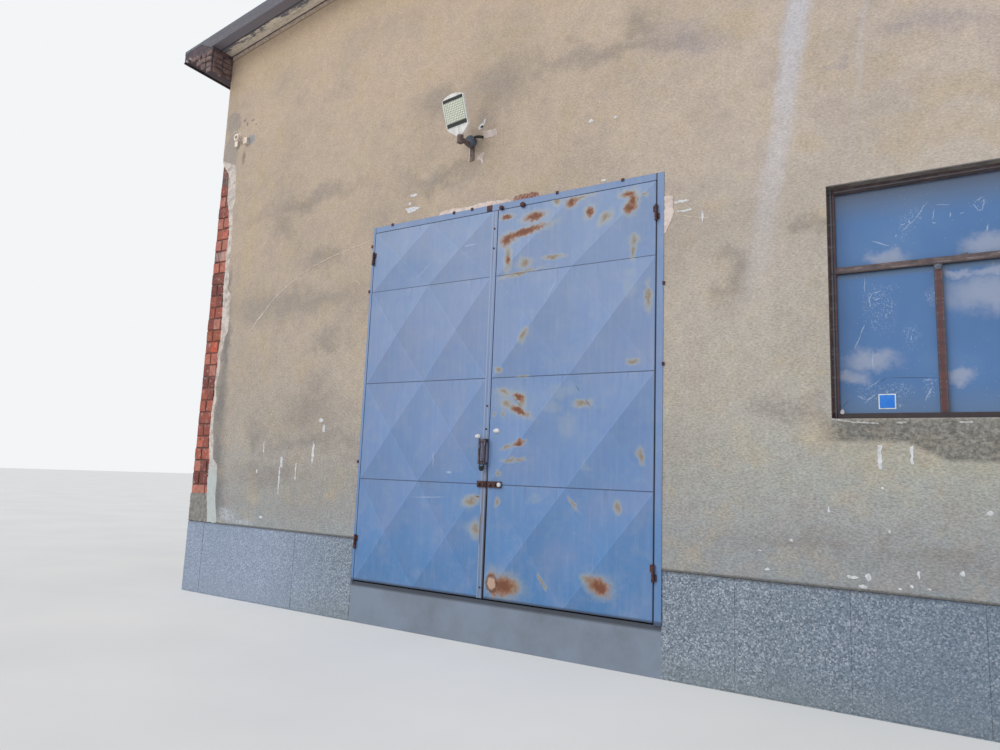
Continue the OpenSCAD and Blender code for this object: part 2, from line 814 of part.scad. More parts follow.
// Flat bar and round joint on the wall, the arm, and the upright pipe at its end
module lamp_bracket() {
    color("#6e4f3e") {
        block([lamp_x - bracket_w / 2, front - bracket_t, floor_h + lamp_arm_z - 155],
              [lamp_x + bracket_w / 2, front, floor_h + lamp_arm_z + 80]);
        translate([lamp_x, front - bracket_t, floor_h + lamp_arm_z + 40]) rotate([90, 0, 0])
            cylinder(r = lamp_joint_r, h = joint_len);
        translate([lamp_x, front - bracket_t, floor_h + lamp_arm_z]) rotate([90, 0, 0])
            cylinder(r = lamp_arm_r, h = lamp_arm_len - bracket_t);
        translate([lamp_x, front - lamp_arm_len, pipe_top - lamp_pipe_len])
            cylinder(r = lamp_pipe_r, h = lamp_pipe_len);
    }
}

// The head's own frame: its length along Z, its light towards -Y
module at_lamp_head() {
    translate([lamp_x, front - lamp_arm_len, pipe_top]) rotate([0, 0, -lamp_turn]) rotate([lamp_tilt, 0, 0])
        children();
}

// The head's neck is cut level where it stands on the pipe
module lamp_head() {
    half = lamp_w / 2;
    neck = 40;
    crown = 36;
    top = lamp_neck + lamp_field;
    color("#dcdacb") difference() {
        at_lamp_head() across(-lamp_t / 2, lamp_t / 2)
            polygon([[-neck, -20], [neck, -20], [neck, 6], [half, lamp_neck - 14], [half, top],
                     [half * 0.75, top + crown * 0.45], [half * 0.4, top + crown * 0.85], [0, top + crown],
                     [-half * 0.4, top + crown * 0.85], [-half * 0.75, top + crown * 0.45],
                     [-half, top], [-half, lamp_neck - 14], [-neck, 6]]);
        translate([lamp_x - lamp_w, front - lamp_arm_len - lamp_w, pipe_top - lamp_w])
            cube([2 * lamp_w, 2 * lamp_w, lamp_w]);
    }
}

module lamp_panel() {
    edge = 14;
    panel_t = 8;
    panel_seat = 0.1;
    color("#e6e4c6") at_lamp_head()
        block([edge - lamp_w / 2, -lamp_t / 2 - panel_t, lamp_neck],
              [lamp_w / 2 - edge, -lamp_t / 2 - panel_seat, lamp_neck + lamp_field]);
}

// Round cable holder with its stub, and the junction box, by the left corner
module corner_fittings() {
    holder_x = holder_from_corner - half_w;
    holder_d = 36;
    mouth_r = 24;
    box_w = 68;
    box_h = 82;
    box_d = 35;
    box_mid = floor_h + holder_z - 87;
    color("#d8d1bd") {
        difference() {
            translate([holder_x, front, floor_h + holder_z]) rotate([90, 0, 0]) {
                cylinder(r = holder_r, h = holder_d * 0.6);
                translate([0, 0, holder_d * 0.6]) cylinder(r1 = holder_r, r2 = holder_r - 10, h = holder_d * 0.4);
            }
            translate([holder_x, front - 6, floor_h + holder_z]) rotate([90, 0, 0])
                cylinder(r = mouth_r, h = holder_d);
        }
        block([holder_x - 28, front - 24, floor_h + holder_z - 130],
              [holder_x + 28, front, floor_h + holder_z - holder_r + 12]);
        block([holder_x + 157, front - box_d, box_mid - box_h / 2],
              [holder_x + 157 + box_w, front, box_mid + box_h / 2]);
    }
}

floor_slab();
plinth_front_left();
plinth_front_right();
plinth_sides();
plinth_back();
front_wall_piers();
front_window_bay();
front_gable();
front_render();
side_walls_lower();
side_wall_piers();
side_walls_upper();
back_wall_lower();
back_wall_piers();
back_gable();
eaves_cornices();
verge_boards();
verge_flashings();
eaves_trims();
roof_left();
roof_right();
ridge_cap();
purlins();
roof_trusses();
front_window_frame();
side_and_back_window_frames();
window_glass();
gate_jambs();
gate_head();
gate_hinge_pins();
left_leaf_frame();
left_leaf_sheets();
left_leaf_hinges();
cover_strip();
pull_handle();
padlock();
latch_left();
right_leaf_frame();
right_leaf_sheets();
right_leaf_hinges();
latch_right();
lamp_bracket();
lamp_head();
lamp_panel();
corner_fittings();
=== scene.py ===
# %% [markdown]
# This lesson dresses a factory hall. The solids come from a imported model, and every new piece is placed by
# their sizes, in metres: X runs right along the gable, Y runs back through the hall and Z is up.

# %% Load the frame
import math
import random

import bpy
from mathutils import Matrix, Vector


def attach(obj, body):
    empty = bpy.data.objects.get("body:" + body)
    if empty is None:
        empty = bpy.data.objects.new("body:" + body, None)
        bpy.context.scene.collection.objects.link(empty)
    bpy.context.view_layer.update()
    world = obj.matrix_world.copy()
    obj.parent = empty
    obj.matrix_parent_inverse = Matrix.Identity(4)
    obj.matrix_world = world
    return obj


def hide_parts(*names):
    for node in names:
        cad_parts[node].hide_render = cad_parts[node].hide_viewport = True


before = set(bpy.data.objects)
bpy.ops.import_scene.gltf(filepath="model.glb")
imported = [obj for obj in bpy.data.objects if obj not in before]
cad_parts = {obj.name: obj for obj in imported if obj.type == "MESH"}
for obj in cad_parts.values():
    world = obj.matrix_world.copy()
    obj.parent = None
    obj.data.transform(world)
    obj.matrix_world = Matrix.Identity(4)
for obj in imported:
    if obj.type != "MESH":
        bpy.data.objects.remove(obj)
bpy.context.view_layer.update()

# %% [markdown]
# The hall is seen from eye height, close to the gable and a little right of the gates, with a wide lens.
# The numbers were worked out from the hall's own level and upright lines. The picture leans by two degrees,
# so the camera's own axes are built one by one rather than aimed with a constraint.

# %% Set up the camera
CAMERA_PLACE = Vector((1.597, -13.705, 1.511))
LOOK_LEFT, LOOK_UP, LEAN = math.radians(31.98), math.radians(8.128), math.radians(2.279)


def photo_camera():
    ahead = Vector((-math.sin(LOOK_LEFT) * math.cos(LOOK_UP), math.cos(LOOK_LEFT) * math.cos(LOOK_UP),
                    math.sin(LOOK_UP)))
    right = Vector((math.cos(LOOK_LEFT), math.sin(LOOK_LEFT), 0))
    above = right.cross(ahead)
    level = math.cos(LEAN) * right + math.sin(LEAN) * above
    upright = -math.sin(LEAN) * right + math.cos(LEAN) * above
    axes = Matrix((level, upright, -ahead)).transposed().to_4x4()
    data = bpy.data.cameras.new("street_camera")
    data.lens, data.sensor_width, data.sensor_fit = 25.85, 36, "HORIZONTAL"
    data.clip_start, data.clip_end = 0.1, 500
    camera = bpy.data.objects.new("street_camera", data)
    camera.matrix_world = Matrix.Translation(CAMERA_PLACE) @ axes
    bpy.context.scene.collection.objects.link(camera)
    bpy.context.scene.camera = camera
    return camera


camera = photo_camera()
print("camera", tuple(round(v, 3) for v in camera.location), "lens", camera.data.lens)

# %% [markdown]
# Colours are written as sRGB codes, as a paint card would give them, and shaders want linear light. One
# function turns the first into the second. A second one adds a node with its settings and its links, and
# two more open and close a finish, as nearly all begin with a place and end in a bump and a shader.

# %% Colour and node helpers
A, B, RESULT = 6, 7, 2  # the colour sockets of a Mix node


def linear(code):
    parts = [int(code[i:i + 2], 16) / 255 for i in (1, 3, 5)]
    return tuple(c / 12.92 if c <= 0.04045 else ((c + 0.055) / 1.055) ** 2.4 for c in parts) + (1.0,)


def open_nodes(owner):
    """Empty a material's or world's nodes. New ones go there until the next owner is opened."""
    global tree
    owner.use_nodes = True
    tree = owner.node_tree
    tree.nodes.clear()


def add(kind, values=None, links=None, stops=None, **traits):
    made = tree.nodes.new("ShaderNode" + kind)
    for name, value in traits.items():
        setattr(made, name, value)
    for socket, value in (values or {}).items():
        made.inputs[socket].default_value = value
    for socket, source in (links or {}).items():
        giver, plug = source if isinstance(source, tuple) else (source, 0)
        tree.links.new(giver.outputs[plug], made.inputs[socket])
    if stops:
        elements = made.color_ramp.elements
        elements.remove(elements[1])
        elements[0].position, elements[0].color = stops[0][0], linear(stops[0][1])
        for place, code in stops[1:]:
            elements.new(place).color = linear(code)
    return made


def new_finish(name):
    """Start a material. It comes with its object coordinates, whole and as X, Y and Z apart."""
    finish = bpy.data.materials.new(name)
    open_nodes(finish)
    place = (add("TexCoord"), "Object")
    return finish, place, add("SeparateXYZ", links={0: place})


def surfaced(finish, colour, relief, strength, depth, rough, **sockets):
    """Close a finish with a bump and its shader. Roughness is a number or another node's output."""
    bump = add("Bump", {"Strength": strength, "Distance": depth}, {"Height": relief})
    plugs = {"Base Color": colour, "Normal": bump}
    (sockets if isinstance(rough, float) else plugs)["Roughness"] = rough
    add("OutputMaterial", links={0: add("BsdfPrincipled", sockets, plugs)})
    return finish


print("tan render in linear light:", tuple(round(c, 3) for c in linear("#b2a293")))

# %% [markdown]
# Some finishes change from place to place: rust sits where water stood, and plaster is dark where algae
# grow. Such marks are ellipses on the wall's plane, given by their middle, half sizes and turn. The place
# that they read is shaken by a noise first, so that their edges are frayed as real stains are.

# %% Helpers for marks at real places
def shaken_place(shake, size):
    """Object coordinates moved about by up to half of shake, with waves of that size, in metres."""
    place = (add("TexCoord"), "Object")
    noise = add("TexNoise", {"Scale": 1 / size, "Detail": 4.0, "Roughness": 0.6}, {0: place})
    middle = add("VectorMath", {1: (0.5, 0.5, 0.5)}, {0: (noise, "Color")}, operation="SUBTRACT")
    return add("VectorMath", {1: (shake * 2, shake * 2, shake * 2)}, {0: middle, 2: place},
               operation="MULTIPLY_ADD")


def folded(operation, *sources):
    """One number from several, taken two at a time: their product, sum, least or most."""
    whole, *rest = sources
    for source in rest:
        whole = add("Math", links={0: whole, 1: source}, operation=operation)
    return whole


def nearest_mark(place, marks):
    """Distance to the nearest mark, where 0 is its middle and 1 its rim."""
    reaches = []
    for x, z, across, up, turn in marks:
        local = add("Mapping", {"Location": (x, 0, z), "Rotation": (0, math.radians(-turn), 0),
                                "Scale": (across, 1000, up)}, {0: place}, vector_type="TEXTURE")
        reaches.append((add("VectorMath", links={0: local}, operation="LENGTH"), "Value"))
    return folded("MINIMUM", *reaches)


def step_down(source, full, none, most=1.0):
    """A mask that is most below full and fades to nothing at none, or the other way round."""
    return add("MapRange", {"From Min": full, "From Max": none, "To Min": most, "To Max": 0.0}, {0: source},
               interpolation_type="SMOOTHSTEP")


def marked(marks, shake, size, full, none, most=1.0):
    """A mask of the marks, with edges that are frayed by shaking their place."""
    return step_down(nearest_mark(shaken_place(shake, size), marks), full, none, most)


def drawn_out(place, stretch, **waves):
    """A noise whose waves are drawn out along some axes, as grain and streaks are."""
    return add("TexNoise", {"Scale": 1.0, **waves}, {0: add("Mapping", {"Scale": stretch}, {0: place})})


def near_level(source, level, full, none, most=1.0):
    """A mask round one value of a coordinate: most within full of it, and nothing beyond none."""
    off = add("Math", {1: level}, {0: source}, operation="SUBTRACT")
    off = add("Math", links={0: off}, operation="ABSOLUTE")
    return step_down(off, full, none, most)


def both_masks(*masks):
    return folded("MULTIPLY", *masks)


SLOPE = math.tan(math.radians(8.2))
EAVES_UNDERSIDE, HALF_WIDTH = 7.03, 6.45  # height of the roof's underside over the side walls' outer faces


def over_underside(apart):
    """How far a point lies above the plane of the roof's underside, in metres."""
    across = add("Math", links={0: (apart, "X")}, operation="ABSOLUTE")
    risen = add("Math", {1: SLOPE}, {0: across, 2: (apart, "Z")}, operation="MULTIPLY_ADD")
    return add("Math", {1: EAVES_UNDERSIDE + HALF_WIDTH * SLOPE}, {0: risen}, operation="SUBTRACT")


def stained(coat, *stains):
    """Lay stains over a coat, each a mask and a colour, the last on top."""
    for mask, code in stains:
        coat = (add("Mix", {B: linear(code)}, {0: mask, A: coat}, data_type="RGBA"), RESULT)
    return coat


# Planes within the thickness of the walls, and pairs between which the gates' side fades out in a mask.
INSIDE_X, INSIDE_Y, HALF_DEPTH = 6.12, 7.72, 8.0
COAT_FRONT, SLAB_FRONT, WINDOW_FRONT = (-7.95, -7.9), (-7.95, -7.85), (-7.85, -7.8)


def indoors(apart):
    """1 on faces inside the hall, 0 outside."""
    across = add("Math", links={0: (apart, "X")}, operation="ABSOLUTE")
    along = add("Math", links={0: (apart, "Y")}, operation="ABSOLUTE")
    side = add("Math", {1: INSIDE_X}, {0: across}, operation="LESS_THAN")
    end = add("Math", {1: INSIDE_Y}, {0: along}, operation="LESS_THAN")
    return both_masks(side, end)


def dress(finish, *nodes):
    """Give a CAD node's material slots this finish."""
    for name in nodes:
        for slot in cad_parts[name].material_slots:
            slot.material = finish
    print(finish.name, "on", ", ".join(nodes))


# %% [markdown]
# The gable is coated with roughcast: lime and cement thrown on with coarse sand. It gives the eye a grain
# of a few millimetres, warm tan under the roof where it stays dry, greyer and cooler lower down, with soft
# dark clouds of algae and one pale streak where water runs. The cooler grey low down partly paints the shade
# over the lower wall. Two ramps over height are blended from left to right. The real grain is 4 to 8 mm. It
# is drawn at 11 mm, the finest that shows from the camera.

# %% Where the render is marked, as x, z, half width, half height and turn
ALGAE = [(-2.19, 5.47, 0.28, 0.2, -15), (-2.9, 5.46, 0.25, 0.12, -14), (-2.26, 5.2, 0.14, 0.13, -14),
         (-2.74, 4.61, 0.37, 0.09, -6), (-4.85, 4.7, 0.67, 0.09, 5), (-5.22, 4.48, 0.18, 0.1, -9),
         (-0.95, 5.47, 0.63, 0.09, -9), (-0.59, 5.61, 0.14, 0.08, -18), (-4.76, 3.44, 0.76, 0.146, 0),
         (-4.44, 3.97, 0.16, 0.11, -8), (-5.19, 4.34, 0.14, 0.1, -9), (-4.22, 2.97, 0.19, 0.08, -4),
         (-4.43, 2.19, 0.35, 0.23, 0), (-5.31, 1.92, 0.12, 0.13, 0), (-4.45, 1.81, 0.56, 0.07, 5),
         (-5.06, 1.45, 0.37, 0.1, 2), (0.77, 3.59, 0.06, 0.06, -9), (0.22, 3.2, 0.09, 0.16, -6),
         (0.61, 2.08, 0.24, 0.05, 0), (0.58, 1.17, 0.24, 0.05, 4), (0.8, 1.07, 0.13, 0.04, 5),
         (1.24, 1.21, 0.1, 0.05, 4), (1.56, 1.09, 0.28, 0.06, 5)]
EDGE_ALGAE = [(-6.03, 3.0, 0.07, 0.55, 2), (-6.04, 2.3, 0.11, 0.55, 0), (-6.0, 1.65, 0.12, 0.45, 4),
              (-5.93, 1.15, 0.12, 0.35, 0), (-6.08, 3.7, 0.045, 0.25, 0)]
WARM_PATCHES = [(1.8, 4.37, 0.28, 0.1, -15), (0.23, 5.39, 0.22, 0.11, -18), (-5.76, 4.48, 0.08, 0.9, -4)]
PURPLE_PATCHES = [(1.69, 4.92, 0.39, 0.11, -18), (1.02, 4.75, 0.06, 0.05, -16),
                  (-0.15, 5.35, 0.32, 0.14, -17)]
BARE_COAT = [(-6.3, 5.62, 0.17, 0.33, -12), (-6.36, 5.2, 0.1, 0.3, -8), (-6.28, 6.05, 0.14, 0.16, 0)]
BLUE_PATCH = [(-5.915, 5.725, 0.075, 0.075, 0)]
OLD_HOLES = [(-6.079, 6.028, 0.03, 0.022, 20), (-6.016, 5.963, 0.014, 0.03, 10),
             (-5.911, 5.997, 0.03, 0.014, 0), (-5.843, 5.922, 0.012, 0.012, 0),
             (-6.102, 5.718, 0.022, 0.03, 20), (-6.03, 5.5, 0.03, 0.09, 0)]
LIME_BLOOM = [(-5.72, 0.95, 0.2, 0.10, 0), (-5.45, 0.885, 0.28, 0.045, 0), (-2.55, 5.06, 0.07, 0.07, 0)]
print(len(ALGAE) + len(EDGE_ALGAE), "algae marks,", len(OLD_HOLES), "old holes")


# %% Roughcast on the gable and the other walls
def roughcast_render():
    finish, place, apart = new_finish("roughcast_lime_cement_render")
    # The ramps grow greyer and cooler towards the foot, and that cooling partly paints the shade over the
    # lower wall.
    height = add("MapRange", {"From Min": 0.8, "From Max": 8.0}, {0: (apart, "Z")})
    dry_side = add("ValToRGB", links={0: height},
                   stops=[(0.0, "#8d9498"), (0.09, "#a29f99"), (0.22, "#b4a89a"), (0.44, "#b6a695"),
                          (0.7, "#bfac98"), (1.0, "#c2ad97")])
    wet_side = add("ValToRGB", links={0: height},
                   stops=[(0.0, "#838a90"), (0.05, "#969a9b"), (0.12, "#a5a7a1"), (0.2, "#b1ada4"),
                          (0.35, "#b8b0a6"), (0.55, "#c2b4a6"), (1.0, "#c1b0a2")])
    east = add("MapRange", {"From Min": -2.5, "From Max": 1.5}, {0: (apart, "X")},
               interpolation_type="SMOOTHSTEP")
    coat = (add("Mix", links={0: east, A: dry_side, B: wet_side}, data_type="RGBA"), RESULT)

    clouds = add("TexNoise", {"Scale": 0.9, "Detail": 6.0, "Roughness": 0.62}, {0: place})
    cloudy = add("MapRange", {"From Min": 0.45, "From Max": 0.75, "To Max": 0.5}, {0: clouds})
    patches = add("TexNoise", {"Scale": 3.1, "Detail": 5.0, "Roughness": 0.6}, {0: place})
    warm = add("MapRange", {"From Min": 0.5, "From Max": 0.7, "To Max": 0.4}, {0: patches})
    cool = add("MapRange", {"From Min": 0.5, "From Max": 0.3, "To Max": 0.3}, {0: patches})
    coat = stained(coat, (cloudy, "#8f877c"), (warm, "#b9a485"), (cool, "#a4938d"))

    # Marks that belong to the gates' side only are kept off the other walls.
    front = step_down((apart, "Y"), *COAT_FRONT)
    # Clouds of algae are broken up by the patches, so that they don't look like painted ovals.
    algae = marked(ALGAE, 0.35, 0.3, 0.0, 2.3, 0.5)
    edge = marked(EDGE_ALGAE, 0.1, 0.12, 0.1, 1.8, 0.7)
    sunny = marked(WARM_PATCHES, 0.3, 0.25, 0.3, 1.7, 0.5)
    purple = marked(PURPLE_PATCHES, 0.3, 0.25, 0.3, 1.6, 0.5)
    bare = marked(BARE_COAT, 0.1, 0.15, 0.8, 1.15, 0.6)
    blue = marked(BLUE_PATCH, 0.04, 0.06, 0.7, 1.2, 0.75)
    holes = marked(OLD_HOLES, 0.02, 0.03, 0.5, 1.5, 0.6)
    coat = stained(coat, (sunny, "#bba98c"), (purple, "#a2979a"), (algae, "#827c77"),
                   (both_masks(edge, front), "#6a696b"), (both_masks(bare, front), "#918b87"),
                   (both_masks(blue, front), "#8d95a0"), (both_masks(holes, front), "#75605a"))

    # Lime washed out at the roof's edge runs down in two slanting streaks that fade towards the window.
    swayed = add("SeparateXYZ", links={0: shaken_place(0.08, 0.4)})
    for slant, level, full, none, low, high, most in ((-0.16, -0.124, 0.03, 0.14, 2.6, 5.2, 0.75),
                                                      (-0.114, 0.615, 0.006, 0.035, 3.8, 5.0, 0.25)):
        across = add("Math", {1: slant}, {0: (swayed, "Z"), 2: (swayed, "X")}, operation="MULTIPLY_ADD")
        fading = add("MapRange", {"From Min": low, "From Max": high, "To Max": most}, {0: (apart, "Z")})
        streak = both_masks(near_level(across, level, full, none), fading, front)
        coat = stained(coat, (streak, "#c3c3cb"))
    # A warm pale band just under the roof's underside is painted light, laid against the shade that the
    # verge casts on the wall.
    painted_light_under_eaves = near_level(over_underside(apart), -0.1, 0.2, 0.75, 0.6)
    coat = stained(coat, (painted_light_under_eaves, "#d2b999"))

    # Under the window's sill algae end in a crisp line. Below it the coat is yellower.
    speck = add("TexNoise", {"Scale": 1 / 0.03, "Detail": 5.0, "Roughness": 0.75}, {0: place})
    left_end = add("MapRange", {"From Min": 0.8, "From Max": 0.95}, {0: (apart, "X")})
    right_end = step_down((apart, "X"), 3.7, 3.9)
    foot = add("MapRange", {"From Min": 1.35, "From Max": 1.62, "To Min": 1.865, "To Max": 1.735},
               {0: (apart, "X")})
    above = add("Math", links={0: (apart, "Z"), 1: foot}, operation="SUBTRACT")
    above = add("MapRange", {"From Min": -0.012, "From Max": 0.02}, {0: above})
    below = step_down((apart, "Z"), 2.0, 2.06)
    dotted = add("MapRange", {"From Min": 0.36, "From Max": 0.6, "To Min": 0.35, "To Max": 0.95}, {0: speck})
    sill_algae = both_masks(left_end, right_end, above, below, dotted, front)
    yellow = both_masks(left_end, right_end, front, near_level((apart, "Z"), 1.78, 0.07, 0.22, 0.2))
    coat = stained(coat, (yellow, "#ada080"), (sill_algae, "#63625e"))

    # Salts leave a pale band where the wall draws up water, and a dark line of painted shade lies on the
    # coat's foot, where it meets the plinth.
    foot_noise = add("TexNoise", {"Scale": 3.0, "Detail": 4.0}, {0: place})
    foot_edge = add("Math", {1: 0.5, 2: 0.75}, {0: foot_noise}, operation="MULTIPLY_ADD")
    foot_band = add("Math", links={0: (apart, "Z"), 1: foot_edge}, operation="SUBTRACT")
    salts = step_down(foot_band, -0.1, 0.12, 0.15)
    bloom = marked(LIME_BLOOM, 0.08, 0.08, 0.3, 1.2, 0.75)
    broken = add("MapRange", {"From Min": 0.42, "From Max": 0.54}, {0: speck})
    soot_and_shade = step_down((apart, "Z"), 0.836, 0.856, 0.8)
    coat = stained(coat, (salts, "#aeb0ac"), (both_masks(bloom, broken, front), "#b6bdc4"),
                   (soot_and_shade, "#55524f"))

    crack = near_level(over_underside(apart), -0.062, 0.004, 0.01, 0.7)
    coat = stained(coat, (crack, "#6a584c"))

    # The grain is longer than tall, as thrown mortar slumps a little, and stands out more near the ground.
    # Its grains of 5 to 8 mm are drawn 11 mm high, as finer ones would melt together at this distance.
    grain = drawn_out(place, (1 / 0.023, 1 / 0.023, 1 / 0.011), Detail=4.0, Roughness=0.75)
    centred = add("Math", {1: 0.5}, {0: grain}, operation="SUBTRACT")
    strength = add("MapRange", {"From Min": 1.4, "From Max": 3.6, "To Min": 1.8, "To Max": 1.2},
                   {0: (apart, "Z")})
    grain_tone = add("Math", {2: 1.0}, {0: centred, 1: strength}, operation="MULTIPLY_ADD")
    mottle = add("TexNoise", {"Scale": 1 / 0.1, "Detail": 4.0, "Roughness": 0.7}, {0: place})
    mottle_tone = add("MapRange", {"From Min": 0.3, "From Max": 0.7, "To Min": 0.92, "To Max": 1.07},
                      {0: mottle})
    tone = both_masks(grain_tone, mottle_tone)
    coat = add("VectorMath", links={0: coat, 3: tone}, operation="SCALE")
    coat = stained(coat, (indoors(apart), "#cdc8bc"))

    height_map = add("Math", {1: 0.35}, {0: mottle, 2: grain}, operation="MULTIPLY_ADD")
    return surfaced(finish, coat, height_map, 0.6, 0.006, 0.92)


roughcast = roughcast_render()
dress(roughcast, "front_render", "side_walls_lower", "side_wall_piers", "side_walls_upper",
      "back_wall_lower", "back_wall_piers", "back_gable")

# %% [markdown]
# The brickwork is ordinary fired clay, laid in courses of 75 mm. It gives the eye a dull red-brown that
# changes from brick to brick, with grey mortar. A Brick Texture draws it. It needs to run along each wall,
# so the face's own direction chooses X or Y as its length. Indoors the same brick is whitewashed. The
# stepped cornice gets a sooty kind: smoke and rain have turned it grey-brown, and only some bricks still
# look red.

# %% Brickwork of the walls and the cornice
def fired_clay_brick(name, pale, deep, mortar, soot_and_shade, least_soot, most_soot):
    finish, place, apart = new_finish(name)
    facing = add("SeparateXYZ", links={0: (place[0], "Normal")})
    sideways = add("Math", links={0: (facing, "X")}, operation="ABSOLUTE")
    turned = add("Math", {1: 0.7}, {0: sideways}, operation="GREATER_THAN")
    run = add("Mix", links={0: turned, 2: (apart, "X"), 3: (apart, "Y")})
    flat = add("CombineXYZ", links={0: run, 1: (apart, "Z")})
    rise = add("Mapping", {"Location": (0.0, 0.02, 0.0)}, {0: flat})
    bricks = add("TexBrick", {"Color1": linear(pale), "Color2": linear(deep), "Mortar": linear(mortar),
                              "Scale": 1.0, "Mortar Size": 0.006, "Mortar Smooth": 0.2, "Bias": 0.0,
                              "Brick Width": 0.26, "Row Height": 0.075}, {0: rise})
    noise = add("TexNoise", {"Scale": 9.0, "Detail": 7.0, "Roughness": 0.75}, {0: place})
    grime_and_shade = add("MapRange", {"From Min": 0.4, "From Max": 0.6, "To Min": least_soot, "To Max": most_soot},
                {0: noise})
    face = stained(bricks, (grime_and_shade, soot_and_shade), (indoors(apart), "#cdc8bc"))
    relief = add("Math", {1: -0.6}, {0: (bricks, "Fac"), 2: noise}, operation="MULTIPLY_ADD")
    return surfaced(finish, face, relief, 0.9, 0.01, 0.9)


wall_brick = fired_clay_brick("fired_clay_brickwork", "#8a5a4c", "#6d4a42", "#8d857c", "#5a5350", 0.0, 0.7)
sooty_brick = fired_clay_brick("sooty_cornice_brickwork", "#8f655b", "#544850", "#4f474e", "#45424b", 0.35,
                               1.0)
dress(wall_brick, "front_wall_piers", "front_window_bay", "front_gable")
dress(sooty_brick, "eaves_cornices")

# %% [markdown]
# The plinth is coated with a coarser, cement-grey coat that was washed back to show its pebbles. Cells of
# 11 mm stand for the pebbles, each with its own grey, and the seams between them are lower than the stones.
# The Voronoi texture gives its distance in cells, not in metres, so 0.5 is half a pebble.

# %% Washed pebble coat of the plinth
def washed_pebble_coat():
    finish, place, apart = new_finish("washed_pebble_cement_coat")
    pebbles = add("TexVoronoi", {"Scale": 1 / 0.011, "Randomness": 1.0}, {0: place})
    tone = add("SeparateXYZ", links={0: (pebbles, "Color")})
    stone = add("ValToRGB", links={0: (tone, "X")},
                stops=[(0.0, "#56616f"), (0.3, "#788490"), (0.65, "#8b96a5"), (0.85, "#a0a9b5"),
                       (1.0, "#b9bec6")])
    clouds = add("TexNoise", {"Scale": 1.6, "Detail": 6.0, "Roughness": 0.65}, {0: place})
    damp = add("MapRange", {"From Min": 0.42, "From Max": 0.72, "To Max": 0.5}, {0: clouds})
    seam = add("MapRange", {"From Min": 0.45, "From Max": 0.8, "To Max": 0.5}, {0: (pebbles, "Distance")})
    splash = step_down((apart, "Z"), 0.02, 0.3, 0.35)
    # The dark band at the plinth's top is painted shade under the edge of the coat above.
    drip_and_shade = step_down((apart, "Z"), 0.822, 0.8, 0.6)
    coat = stained(stone, (damp, "#6f7d88"), (seam, "#5c6872"), (splash, "#7a8280"), (drip_and_shade, "#4c5055"))
    west = step_down((apart, "X"), -5.2, -3.4, 0.3)
    east = add("MapRange", {"From Min": 0.2, "From Max": 1.6, "To Max": 0.35}, {0: (apart, "X")})
    coat = stained(coat, (west, "#acbcdc"), (east, "#586b80"))
    drop = add("Math", {0: 1.0}, {1: (pebbles, "Distance")}, operation="SUBTRACT")
    return surfaced(finish, coat, drop, 0.5, 0.006, 0.88)


pebble_coat = washed_pebble_coat()
dress(pebble_coat, "plinth_front_left", "plinth_front_right", "plinth_sides", "plinth_back")

# %% [markdown]
# The floor is a concrete slab with a floated top. Its edge shows under the gates, cool grey, with a black
# band of painted shadow just under the leaves. The rest is a plain grey with soft clouds, small pits and a
# little dust.

# %% Floated concrete of the floor
def floated_concrete():
    finish, place, apart = new_finish("floated_concrete_slab")
    clouds = add("TexNoise", {"Scale": 2.2, "Detail": 7.0, "Roughness": 0.65}, {0: place})
    tone = add("ValToRGB", links={0: clouds}, stops=[(0.3, "#6c7073"), (0.5, "#7d8183"), (0.7, "#8f9191")])
    outside = step_down((apart, "Y"), *SLAB_FRONT)
    # The black band at the top of the slab's edge is painted shadow under the leaves.
    edge = both_masks(outside, add("MapRange", {"From Min": 0.345, "From Max": 0.37, "To Max": 0.8},
                                   {0: (apart, "Z")}))
    coat = stained(tone, (both_masks(outside, clouds), "#7486a0"), (edge, "#2b2e36"))
    grit = add("TexNoise", {"Scale": 1 / 0.012, "Detail": 3.0}, {0: place})
    return surfaced(finish, coat, grit, 0.4, 0.004, 0.85)


dress(floated_concrete(), "floor_slab")

# %% [markdown]
# The verge is closed from below by a softwood board whose white oil paint is peeling. The paint is left in
# patches that are long in the grain's direction, with a worn edge, and the bare wood is grey. It has gone
# blue-grey along its outer side, where rain reaches it, and stays cream near the wall.

# %% Peeling paint of the verge boards
WEAR = 1.9  # how fast the paint gets thinner with each metre from the wall


